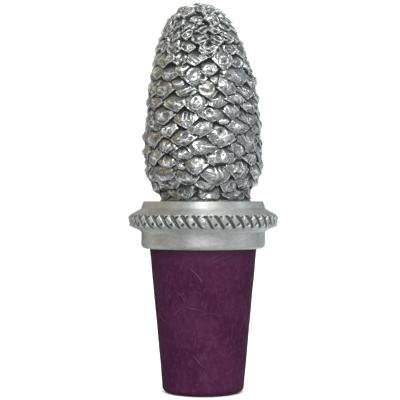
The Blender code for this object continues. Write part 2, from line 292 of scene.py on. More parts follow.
# Raised loops, ridges and pits that stand on those scales. A ring: centre, half width, half height, tilt, height.
# A ridge: its two ends and its height. A pit: centre, radius, depth.
RINGS = [
    (196.9, 102.6, 4.6, 6.6, 0, 0.24), (209.3, 112.2, 4.0, 3.8, 0, 0.26), (167.3, 115.0, 4.0, 3.8, 10, 0.22),
    (185.2, 135.3, 3.9, 3.4, 0, 0.20), (193.6, 74.0, 6.2, 5.8, 25, 0.24), (202.6, 76.6, 3.4, 3.6, -20, 0.18),
    (206.8, 88.0, 6.8, 6.6, 0, 0.26), (208.6, 69.6, 4.6, 4.6, 0, 0.24), (184.2, 48.4, 2.9, 3.1, 0, 0.20),
    (191.0, 48.6, 3.1, 3.2, 0, 0.20), (223.4, 61.0, 3.4, 4.4, 35, 0.20), (226.6, 76.0, 3.6, 3.4, 0, 0.18),
    (220.6, 131.8, 4.8, 4.6, 0, 0.20), (219.2, 154.6, 4.2, 6.2, 32, 0.22), (225.2, 156.4, 2.6, 4.6, 32, 0.16),
    (230.0, 182.6, 3.4, 4.8, 30, 0.24), (170.7, 181.6, 2.8, 3.6, 0, 0.20), (195.2, 173.6, 3.0, 2.6, 0, 0.16),
    (163.2, 90.5, 3.8, 3.8, 0, 0.18), (232.0, 124.6, 3.0, 2.8, 0, 0.16), (175.6, 186.4, 2.6, 2.3, 0, 0.16),
    (180.6, 188.2, 2.6, 2.3, 0, 0.16), (174.5, 27.0, 3.0, 2.8, 0, 0.16), (152.0, 136.0, 4.0, 3.6, 0, 0.16),
]
RIDGES = [
    (175.8, 102.4, 186.0, 108.8, 0.26), (178.6, 107.6, 184.0, 110.2, 0.18), (170.0, 99.6, 172.0, 103.0, 0.18),
    (182.8, 112.6, 183.0, 118.6, 0.26), (186.8, 112.8, 187.0, 119.0, 0.26), (191.0, 112.4, 191.4, 119.0, 0.28),
    (163.6, 128.0, 171.0, 136.2, 0.22), (201.0, 144.4, 213.0, 146.4, 0.26), (192.6, 143.4, 199.0, 150.4, 0.20),
    (174.0, 143.0, 177.4, 149.4, 0.24), (164.6, 141.6, 165.0, 146.0, 0.20), (179.6, 149.6, 181.0, 156.2, 0.24),
    (189.0, 148.8, 191.0, 153.0, 0.20), (231.2, 144.0, 231.6, 151.0, 0.22), (239.6, 143.0, 240.2, 150.6, 0.24),
    (214.8, 167.0, 217.0, 174.0, 0.22), (219.0, 168.4, 222.0, 173.6, 0.24), (241.0, 162.6, 242.0, 166.4, 0.20),
    (242.0, 176.0, 243.0, 186.0, 0.22), (184.6, 187.0, 188.0, 191.6, 0.24), (179.0, 193.8, 187.0, 195.0, 0.20),
    (193.6, 43.4, 208.4, 39.6, 0.20), (201.0, 54.8, 208.0, 58.6, 0.20), (190.6, 57.6, 196.0, 62.4, 0.22),
    (195.4, 56.4, 201.0, 61.6, 0.20), (185.0, 77.0, 188.6, 82.0, 0.22), (224.2, 83.0, 226.6, 90.0, 0.24),
    (230.2, 81.0, 233.0, 88.0, 0.18), (226.0, 105.8, 228.2, 111.8, 0.24), (233.4, 104.6, 236.6, 110.6, 0.26),
    (210.0, 100.4, 219.0, 98.2, 0.24), (207.2, 102.0, 209.4, 105.0, 0.18), (186.0, 90.4, 190.6, 86.8, 0.22),
    (241.6, 134.4, 243.4, 140.0, 0.22), (194.8, 127.0, 199.4, 122.4, 0.18), (200.0, 122.4, 205.0, 127.6, 0.22),
    (200.5, 17.0, 209.6, 25.0, 0.36), (210.0, 25.4, 219.0, 33.0, 0.36), (219.6, 33.2, 231.0, 41.6, 0.34),
    (223.0, 32.0, 232.6, 40.0, 0.30), (216.6, 34.6, 226.0, 42.0, 0.26), (191.0, 35.2, 199.6, 29.4, 0.38),
    (200.0, 29.2, 209.0, 25.6, 0.34), (192.0, 37.4, 196.2, 44.6, 0.38), (196.6, 45.0, 209.6, 39.4, 0.38),
    (211.4, 38.4, 219.0, 42.6, 0.34), (219.4, 43.0, 226.6, 40.8, 0.34), (200.4, 49.4, 208.6, 54.0, 0.36),
    (209.0, 54.0, 218.6, 47.4, 0.36), (178.6, 34.4, 188.4, 27.2, 0.32), (181.6, 36.2, 190.0, 29.8, 0.26),
    (192.6, 23.4, 203.4, 20.2, 0.32), (193.6, 26.0, 204.6, 23.6, 0.26), (181.6, 13.4, 189.4, 11.4, 0.28),
    (190.0, 12.6, 198.0, 15.4, 0.28), (177.2, 46.6, 184.0, 52.4, 0.34), (184.6, 52.6, 192.0, 47.6, 0.34),
    (166.0, 42.0, 172.4, 48.6, 0.30), (205.0, 17.6, 213.0, 14.6, 0.30), (212.8, 14.6, 221.0, 18.6, 0.26), (196.4, 181.4, 203.0, 184.6, 0.22),
    (201.0, 194.0, 206.4, 189.4, 0.24), (219.6, 185.0, 226.0, 189.0, 0.14), (233.6, 186.4, 239.4, 189.0, 0.14),
    (173.0, 158.0, 174.6, 163.0, 0.24), (165.0, 157.0, 165.6, 160.6, 0.18), (205.6, 155.6, 208.0, 160.4, 0.14),
]
PITS = [
    (195.6, 98.6, 1.5, 0.22), (198.2, 102.6, 1.5, 0.22), (209.3, 111.9, 1.6, 0.26), (183.6, 134.6, 1.1, 0.18),
    (187.0, 136.6, 1.2, 0.18), (208.6, 70.6, 1.5, 0.26), (220.2, 131.0, 1.5, 0.30), (227.4, 141.2, 1.3, 0.24),
    (213.6, 177.0, 1.3, 0.26), (163.0, 169.6, 1.6, 0.26), (165.4, 170.4, 1.4, 0.22), (178.6, 105.4, 1.1, 0.20),
    (224.2, 62.4, 1.4, 0.28), (230.2, 182.8, 1.8, 0.34), (231.6, 185.0, 1.4, 0.26), (191.0, 48.2, 1.1, 0.16),
    (236.0, 147.4, 1.4, 0.20), (170.6, 181.6, 1.4, 0.20), (175.4, 186.2, 1.3, 0.22), (180.6, 188.2, 1.3, 0.22),
    (196.0, 188.6, 2.6, 0.75), (196.6, 192.4, 2.6, 0.75), (196.2, 196.0, 2.4, 0.60), (220.4, 191.6, 2.0, 0.50),
    (154.0, 139.0, 1.3, 0.20), (250.4, 151.0, 1.2, 0.18), (218.6, 153.6, 2.0, 0.18), (221.0, 157.0, 1.6, 0.18),
]
KINDS = ("plain", "dome", "ring", "pit", "pits", "cup", "pleat", "fold", "crumple", "edge")


def frame_at(curve, s0, a):
    """Point, sideways, down and outward directions of the body at a place along a ring's angle."""
    r, z, x, nr, nz, s = curve
    rr, zz, xx, n_r, n_z = (float(np.interp(s0, s, v)) for v in (r, z, x, nr, nz))
    ca, sa = math.cos(a), math.sin(a)
    p = np.array([rr * ca + xx, rr * sa, zz])
    out = np.array([n_r * ca, n_r * sa, n_z])
    out /= np.linalg.norm(out)
    east = np.array([-sa, ca, 0.0])
    down = np.cross(out, east) * -1.0
    if down[2] > 0:
        down = -down
    return p, east, down, out


def place_scales(curve):
    """Every scale as a dict: the seen ones where they are seen, and the rest spread to fill the body."""
    r, z, x, nr, nz, s = curve
    made = []
    for px, py, w, h, kind, line in FRONT:
        s0, a = on_body(px, py, curve)
        # a scale seen edge on is wider than it looks
        turn = abs((a + math.pi / 2.0 + math.pi) % (2.0 * math.pi) - math.pi)
        grow = min(1.0 / max(math.cos(turn), 0.35), 1.7)
        lean = math.sqrt(max(1.0 - float(np.interp(s0, s, nz)) ** 2, 0.0))
        tall = min(1.0 / max(lean, 0.4), 1.9)
        made.append({"s": s0, "a": a, "w": min(w * grow, 30.0) * PX * 0.95, "h": min(h * tall, 17.5 if tall > 1.1 else 99.0) * PX * 0.95,
                     "kind": kind, "line": line, "fixed": True})
    fixed = len(made)

    # an even spiral for the sides and the back
    fine = np.linspace(s[0], s[-1] - 1.2, 4000)
    rr = np.interp(fine, s, r)
    zz = np.interp(fine, s, z)
    area = 15.2 - 7.2 * step(66.0, 80.5, zz)
    count = np.concatenate([[0.4], 0.4 + np.cumsum(2.0 * math.pi * 0.5 * (rr[1:] + rr[:-1]) * np.diff(fine)
                                                   / (0.5 * (area[1:] + area[:-1])))])
    free = []
    for n in range(int(count[-1])):
        s0 = float(np.interp(n + 0.9, count, fine))
        a = math.radians(-137.24 * n + 20.0)
        free.append([s0, (a + math.pi) % (2.0 * math.pi) - math.pi])
    free = np.array(free)
    fix = np.array([(m["s"], m["a"]) for m in made])

    def spot(sa):
        q = np.interp(sa[:, 0], s, r), np.interp(sa[:, 0], s, z)
        return np.stack([q[0] * np.cos(sa[:, 1]), q[0] * np.sin(sa[:, 1]), q[1]], axis=1)

    def spacing(sa):
        zq = np.interp(sa[:, 0], s, z)
        return np.sqrt((15.2 - 7.2 * step(66.0, 80.5, zq)) * 1.4 * 1.1547)

    def gaps(p, q, sa):
        """Distance with the up and down part stretched, from each p to each q."""
        d = p[:, None, :] - q[None, :, :]
        down = np.array([frame_at(curve, t[0], t[1])[2] for t in sa])
        v = np.einsum('ijk,ik->ij', d, down)
        full = (d ** 2).sum(-1)
        return np.sqrt(full + v * v * (1.4 ** 2 - 1.0)), v

    g, _ = gaps(spot(free), spot(fix), free)
    front = np.abs((free[:, 1] + math.pi / 2.0 + math.pi) % (2.0 * math.pi) - math.pi) < math.radians(52.0)
    keep = (g.min(1) > 0.66 * spacing(free)) & ~(front & (g.min(1) < 0.95 * spacing(free)))
    free = free[keep]
    for _ in range(60):
        p, q = spot(free), spot(fix)
        allp = np.concatenate([p, q])
        dist, _ = gaps(p, allp, free)
        dist[np.arange(len(p)), np.arange(len(p))] = 99.0
        want = spacing(free)[:, None]
        push = np.clip(1.0 - dist / want, 0.0, 1.0) ** 1.0
        move = np.zeros((len(p), 2))
        for k in range(len(p)):
            near = np.nonzero(push[k] > 0)[0]
            if not len(near):
                continue
            _, east, down, _ = frame_at(curve, free[k, 0], free[k, 1])
            d = p[k] - allp[near]
            e, v = d @ east, (d @ down) * 1.4
            size = np.maximum(np.hypot(e, v), 1e-6)
            move[k, 0] += (push[k, near] * v / size).sum() / 1.4
            move[k, 1] += (push[k, near] * e / size).sum()
        rr = np.maximum(np.interp(free[:, 0], s, r), 0.8)
        free[:, 0] = np.clip(free[:, 0] + 0.9 * move[:, 0], s[0], s[-1] - 1.0)
        free[:, 1] += 0.9 * move[:, 1] / rr
    weights = np.array([2.0, 2.0, 2.0, 1.2, 0.8, 1.4, 2.4, 2.4, 2.4, 1.2])
    for s0, a in free:
        zq = float(np.interp(s0, s, z))
        size = math.sqrt(float(15.2 - 7.2 * step(66.0, 80.5, np.array(zq))) / 15.2)
        kind = KINDS[int(RNG.choice(len(KINDS), p=weights / weights.sum()))]
        made.append({"s": float(s0), "a": float(a), "w": size * RNG.uniform(5.1, 6.2), "h": size * RNG.uniform(3.0, 3.7),
                     "kind": kind, "line": float(RNG.uniform(-80, 80)), "fixed": False})
    print("scales:", fixed, "seen,", len(made) - fixed, "filled in")
    return made


def scale_shape(u, v, m):
    """Height of one scale over the body, for points u sideways and v down from its middle, in mm."""
    w, h = m["w"], m["h"]
    U = u / (0.64 * w)
    # lower edge: a blunt V; upper edge: reaches up under the neighbours
    V = np.where(v > m["wide"], (v - m["wide"]) / (0.70 * h - m["wide"]), (v - m["wide"]) / (1.05 * h))
    lower = V > 0
    p = np.where(lower, m["point"], 2.2)
    reach = (np.abs(U + np.where(lower, m["skew"], 0.0) * V) ** p + np.abs(V) ** p) ** (1.0 / p)
    # four faces that meet at the boss
    su, sv = m["umbo"]
    du, dv = (u - su) / (0.5 * w), (v - sv) / (0.5 * h)
    up = 1.0 + m["rise"] * dv
    down = 1.0 - m["drop"] * dv
    left = 1.0 + m["left"] * du
    right = 1.0 - m["right"] * du
    k = 13.0
    body = -np.log(np.exp(-k * up) + np.exp(-k * down) + np.exp(-k * left) + np.exp(-k * right)) / k + 0.11
    body = np.maximum(body, 0.02)
    edge = np.clip((1.0 - reach) * 0.5 * h / m["rim"], 0.0, 1.0)
    edge = 0.5 * edge + 0.5 * np.sqrt(np.maximum(1.0 - (1.0 - edge) ** 2, 0.0))
    lip = 0.13 * np.exp(-(((1.0 - reach) * 0.5 * h - 0.25) / 0.11) ** 2) * step(-0.1, 0.25, V)
    boss = 0.22 * (1.0 - 0.8 * m["thin"]) * np.exp(-np.hypot(du / 0.42, dv / 0.55) ** 1.5)
    # under the neighbours it runs out gently
    edge = np.where(lower, 0.15 + 0.85 * edge, np.clip((1.0 - reach) / 0.3, 0.0, 1.0))
    return m["lift"] * (body + boss - 0.06) * edge + lip, U, V, reach


def scale_marks(u, v, U, V, m):
    """Umbo, pits, pleats and folds on one scale, in mm."""
    kind = m["kind"]
    t = math.radians(m["line"])
    # along and across the scale's lines; positive line angles rise to the right
    along = u * math.cos(t) - v * math.sin(t)
    across = u * math.sin(t) + v * math.cos(t)
    out = np.zeros_like(u)
    su, sv = m["umbo"]
    du, dv = u - su, v - sv
    size = m["w"] / 5.4
    if kind in ("ring", "pit", "cup"):
        wide, tall = {"ring": (0.80, 0.72), "pit": (0.45, 0.45), "cup": (1.25, 1.05)}[kind]
        d = np.hypot(du / (wide * size), dv / (tall * size))
        out += 0.22 * np.exp(-((d - 1.0) * wide * size / 0.17) ** 2) - 0.24 * np.exp(-(d / 0.62) ** 2)
    if kind == "pits":
        d = np.hypot(du / (0.85 * size), dv / (1.1 * size))
        out += 0.22 * np.exp(-((d - 1.0) * size / 0.19) ** 2) - 0.16 * np.exp(-(d / 0.6) ** 2)
        for qu, qv in ((-0.2, -0.5), (0.2, 0.3)):
            out -= 0.20 * np.exp(-(np.hypot(du - qu * size, dv - qv * size) / (0.30 * size)) ** 2)
    if kind == "pleat":
        wave = 0.80 * size
        bent = across + 0.22 * np.sin(1.9 * along + m["phase"]) + 0.16 * np.sin(2.6 * across + 2.0 * m["phase"])
        line = np.cos(2.0 * math.pi * bent / wave + m["phase"])
        out += 0.10 * np.abs(line) ** 0.7 * np.sign(line) * np.exp(-((across - m["shift"]) / (1.5 * size)) ** 2)
    if kind == "fold":
        for k in range(3):
            off = m["folds"][k][0]
            ang = math.radians(m["line"] + m["folds"][k][1])
            c = u * math.sin(ang) + v * math.cos(ang) - off
            l = u * math.cos(ang) - v * math.sin(ang)
            out += 0.24 * np.exp(-(c / 0.17) ** 2) * np.exp(-((l - m["folds"][k][2]) / (1.3 * size)) ** 2)
            out -= 0.20 * np.exp(-((c - 0.33) / 0.20) ** 2) * np.exp(-((l - m["folds"][k][2]) / (1.1 * size)) ** 2)
    if kind == "dome":
        out += 0.20 * np.exp(-((u / (0.30 * m["w"])) ** 2 + (v / (0.36 * m["h"])) ** 2))
    if kind == "edge" or m["thin"] > 0:
        # a rolled rim along the lower edge, and a hollow behind it
        much = 1.0 if kind == "edge" else m["thin"]
        at = np.abs(U) + np.abs(V) + 0.10 * np.sin(9.0 * U + m["phase"])
        out += much * 0.32 * np.exp(-((at - 0.78) / 0.10) ** 2) * step(-0.6, 0.0, V)
        out -= much * 0.40 * np.exp(-((at - 0.20) / 0.42) ** 2)
    return out


def front_marks(curve, pts, s_of):
    """The loops, ridges and pits of the scales that face the camera, in mm, at points of the body."""
    out = np.zeros(len(pts))

    def local(px, py, reach):
        s0, a = on_body(px, py, curve)
        p, east, down, _ = frame_at(curve, s0, a)
        idx = np.nonzero((np.abs(s_of - s0) < reach) & (((pts - p) ** 2).sum(1) < reach ** 2))[0]
        turn = abs((a + math.pi / 2.0 + math.pi) % (2.0 * math.pi) - math.pi)
        d = pts[idx] - p
        return idx, (d @ east) * max(math.cos(turn), 0.5) / PX, (d @ down) / PX

    for px, py, rx, ry, tilt, high in RINGS:
        idx, u, v = local(px, py, 3.2)
        t = math.radians(tilt)
        uu, vv = u * math.cos(t) + v * math.sin(t), -u * math.sin(t) + v * math.cos(t)
        d = np.hypot(uu / rx, vv / ry)
        slim = (d - 1.0) * min(rx, ry)
        out[idx] += 0.70 * high * np.exp(-(slim / 0.75) ** 2) * (0.7 + 0.3 * step(-1.0, 1.0, vv / ry))
        out[idx] -= 0.50 * high * np.exp(-(d / 0.70) ** 4)
    for x0, y0, x1, y1, high in RIDGES:
        idx, u, v = local(0.5 * (x0 + x1), 0.5 * (y0 + y1), 3.4)
        ex, ey = x1 - x0, y1 - y0
        size = math.hypot(ex, ey)
        ex, ey = ex / size, ey / size
        l, c = u * ex + v * ey, -u * ey + v * ex
        c = c + 0.10 * l * l / size
        body = np.exp(-(np.maximum(np.abs(l) - 0.42 * size, 0.0) / 1.0) ** 2)
        out[idx] += 0.80 * high * np.exp(-(c / 0.85) ** 2) * body
        out[idx] -= 0.30 * high * (np.exp(-((c - 2.0) / 1.0) ** 2) + np.exp(-((c + 2.0) / 1.0) ** 2)) * body
    for px, py, rad, deep in PITS:
        idx, u, v = local(px, py, 1.6)
        out[idx] -= 0.60 * deep * np.exp(-(np.hypot(u, v) / (0.9 * rad)) ** 2.5)
    return out


def build_cone(columns, rings, faces):
    curve = body_curve(rings)
    r, z, x, nr, nz, s = curve
    scales = place_scales(curve)
    ang = np.linspace(0.0, 2.0 * math.pi, columns, endpoint=False)
    ca, sa = np.cos(ang), np.sin(ang)
    base = np.stack([r[:, None] * ca + x[:, None], r[:, None] * sa, np.repeat(z[:, None], columns, 1)], axis=-1)
    out = np.stack([nr[:, None] * ca, nr[:, None] * sa, np.repeat(nz[:, None], columns, 1)], axis=-1)
    out /= np.linalg.norm(out, axis=-1, keepdims=True)
    flat, nflat = base.reshape(-1, 3), out.reshape(-1, 3)
    n = len(flat)

    first = np.full(n, -9.0)
    second = np.full(n, -9.0)
    marks = np.zeros(n)
    own = np.full(n, -1)
    tone = np.zeros(n)
    floor = 0.14 + 0.24 * np.repeat(step(43.6, 41.8, z), columns)
    def finish(m, share):
        m.update({"lift": share * RNG.uniform(1.08, 1.36) * (0.45 + 0.55 * min(m["h"], 3.3) / 3.3),
                  "rise": RNG.uniform(0.56, 0.82), "drop": RNG.uniform(0.28, 0.62),
                  "left": RNG.uniform(0.24, 0.58), "right": RNG.uniform(0.24, 0.58),
                  "wide": RNG.uniform(-0.10, 0.06) * m["h"], "rim": RNG.uniform(0.14, 0.24),
                  "point": RNG.uniform(1.00, 1.18), "skew": RNG.uniform(-0.22, 0.22),
                  "umbo": (RNG.uniform(-0.09, 0.09) * m["w"], RNG.uniform(-0.12, 0.10) * m["h"]),
                  "thin": RNG.uniform(0.35, 1.0) if np.interp(m["s"], s, z) > 67.0 else 0.0,
                  "phase": RNG.uniform(0, 6.28), "shift": RNG.uniform(-0.6, 0.6),
                  "folds": [(RNG.uniform(-1.0, 1.0), RNG.uniform(-28, 28), RNG.uniform(-0.5, 0.5)) for _ in range(3)],
                  "roll": math.radians(RNG.uniform(-7, 7))})
        tip = float(step(68.0, 75.0, np.interp(m["s"], s, z)))
        m["w"] *= 1.0 - 0.14 * tip
        m["lift"] *= 1.0 - 0.08 * tip
        m["left"] += 0.25 * tip
        m["right"] += 0.25 * tip

    for m in scales:
        finish(m, 1.0)
    # where scales leave a hole, a lower one fills it
    probe = (np.arange(2, rings, 5)[:, None] * columns + np.arange(0, columns, 6)[None, :]).ravel()
    spots, aims = flat[probe], nflat[probe]
    n_r, n_c = len(range(2, rings, 5)), len(range(0, columns, 6))
    best = np.zeros(len(spots))

    def cover(m):
        p, east, down, up = frame_at(curve, m["s"], m["a"])
        d = spots - p
        near = ((d ** 2).sum(1) < (0.75 * m["w"] + 1.0) ** 2) & (aims @ up > 0.2)
        h, _, _, rc = scale_shape(d[near] @ east, d[near] @ down, m)
        best[near] = np.maximum(best[near], np.where(rc < 1.0, h, 0.0))

    for m in scales:
        cover(m)
    added = 0
    place, turn = s[2::5], ang[::6]
    high_up = step(68.0, 73.0, np.interp(place, s, z))[:, None]
    open_rows = ((place > 1.2) & (np.interp(place, s, z) > 42.0))[:, None]
    while added < 45:
        low = best.reshape(n_r, n_c)
        low = (np.roll(low, 1, 1) + low + np.roll(low, -1, 1)) / 3.0
        low[1:-1] = (low[2:] + low[1:-1] + low[:-2]) / 3.0
        low = low + 0.15 * high_up
        i, j = np.unravel_index(int(np.argmin(np.where(open_rows, low, 9.0))), low.shape)
        if low[i, j] > 0.33:
            break
        m = {"s": float(place[i]), "a": float(turn[j]), "w": RNG.uniform(3.4, 4.4), "h": RNG.uniform(2.4, 3.0),
             "kind": KINDS[int(RNG.integers(0, 2))], "line": float(RNG.uniform(-80, 80)), "fixed": False}
        finish(m, 0.72)
        scales.append(m)
        cover(m)
        added += 1
    print("scales added in holes:", added)

    for k, m in enumerate(scales):
        p, east, down, up = frame_at(curve, m["s"], m["a"])
        reach = 0.75 * m["w"] + 1.0
        rows = np.nonzero(np.abs(s - m["s"]) < reach + 1.0)[0]
        if not len(rows):
            continue
        lo, hi = rows[0], rows[-1] + 1
        idx = np.arange(lo * columns, hi * columns)
        d = flat[idx] - p
        near = (d ** 2).sum(1) < reach ** 2
        near &= (nflat[idx] @ up) > 0.2
        idx, d = idx[near], d[near]
        u, v = d @ east, d @ down
        c, si = math.cos(m["roll"]), math.sin(m["roll"])
        u, v = u * c - v * si, u * si + v * c
        # a slightly ragged outline
        wob = noise(flat[idx] * 0.9, 11) * 0.10 + noise(flat[idx] * 2.3, 12) * 0.05
        h, U, V, rc = scale_shape(u + wob, v + 0.7 * wob, m)
        h = np.where(rc < 1.0, h, -9.0)
        mk = scale_marks(u, v, U, V, m)
        win = h > first[idx]
        second[idx] = np.where(win, first[idx], np.maximum(second[idx], h))
        marks[idx] = np.where(win, mk, marks[idx])
        own[idx] = np.where(win, k, own[idx])
        tone[idx] = np.where(win, (k * 0.61803) % 1.0, tone[idx])
        first[idx] = np.where(win, h, first[idx])

    first = np.maximum(first, floor)
    second = np.maximum(second, floor)
    gap = first - second
    inside = step(0.02, 0.32, gap)
    height = first + marks * inside
    # crumpled metal: broad dents, soft creases and a little unevenness
    Q = flat + own[:, None] * 3.7
    dents = fbm(Q * 0.42, 2, 5)
    creases = ridged(Q * 0.36, 2, 7) - 0.6
    small = ridged(Q * 0.95, 2, 8) - 0.6
    fine = fbm(flat * 2.1, 2, 9)
    middle = ridged(Q * 0.60 + 9.0, 1, 10) ** 2.0 - 0.5
    calm = 0.45 + 0.55 * np.repeat(step(43.5, 46.5, z), columns)
    height += calm * (0.13 * dents + 0.18 * creases + 0.09 * middle + 0.045 * small + 0.015 * fine) * (0.30 + 0.70 * inside)
    # narrow crevices between the scales
    height -= 0.27 * (1.0 - step(0.0, 0.12, gap)) * (0.4 + 0.6 * np.repeat(step(41.5, 43.5, z), columns))
    height += front_marks(curve, flat, np.repeat(s, columns)) * (0.25 + 0.75 * step(0.0, 0.2, gap))
    height = height.reshape(rings, columns)
    zz = np.repeat(z[:, None], columns, 1)
    # calm the foot, and close the tip
    foot = step(39.9, 40.7, zz)
    pad = (fbm(flat * 0.55, 2, 21).reshape(rings, columns))
    height = height * foot + (0.75 + 0.40 * pad) * np.exp(-np.maximum(zz - 40.05, 0.0) / 0.36)
    mean = height[0].mean()
    tip = step(0.0, 0.8, np.repeat(s[:, None], columns, 1))
    height = height * tip + mean * (1.0 - tip)

    # how deep each place lies under its surroundings
    cell = (s[1] - s[0])
    def blur(f, mm):
        n_r = int(round(3 * mm / cell))
        k = np.exp(-0.5 * (np.arange(-n_r, n_r + 1) * cell / mm) ** 2)
        k /= k.sum()
        padded = np.concatenate([np.repeat(f[:1], n_r, 0), f, np.repeat(f[-1:], n_r, 0)])
        g = np.zeros_like(f)
        for i, w in enumerate(k):
            g += w * padded[i:i + len(f)]
        around = np.fft.rfft(g, axis=1)
        freq = np.arange(around.shape[1])
        sig = mm / np.maximum(r, 0.6)
        around *= np.exp(-0.5 * (freq[None, :] * sig[:, None]) ** 2)
        return np.fft.irfft(around, n=columns, axis=1)
    wide, narrow = blur(height, 0.75), blur(height, 0.28)
    deep = np.clip((wide - height) / 0.55 + (narrow - height) / 0.30, -1.0, 1.0)
    deep = np.where(deep > 0, deep * (0.25 + 0.75 * step(40.0, 41.4, zz)), deep)
    colors = np.stack([0.5 + 0.5 * deep, np.clip(height / 1.4, 0, 1), tone.reshape(rings, columns)], axis=-1)

    # lips hang a little over what is below them
    droop = 0.24 * step(0.30, 1.15, height) * foot
    down = np.stack([np.gradient(r, s)[:, None] * ca, np.gradient(r, s)[:, None] * sa,
                     np.repeat(np.gradient(z, s)[:, None], columns, 1)], axis=-1)
    pts = base + out * height[..., None] + down * (droop * tip)[..., None]
    floor_z = 39.88
    # the foot of the casting meets the collar
    last = pts[-1].copy()
    pts[-1, :, 2] = floor_z
    low = np.stack([r[-1] * 0.93 * ca + x[-1], r[-1] * 0.93 * sa, np.full(columns, floor_z)], axis=-1)
    pts = np.concatenate([pts, low[None]])
    colors = np.concatenate([colors, colors[-1:]])
    top = base[0].mean(0) + np.array([0, 0, mean + 0.02])
    ob = grid_mesh("pine_cone", pts, closed_top=top, closed_bottom=np.array([x[-1], 0.0, floor_z]), colors=colors)
    thin_to(ob, faces)
    return ob


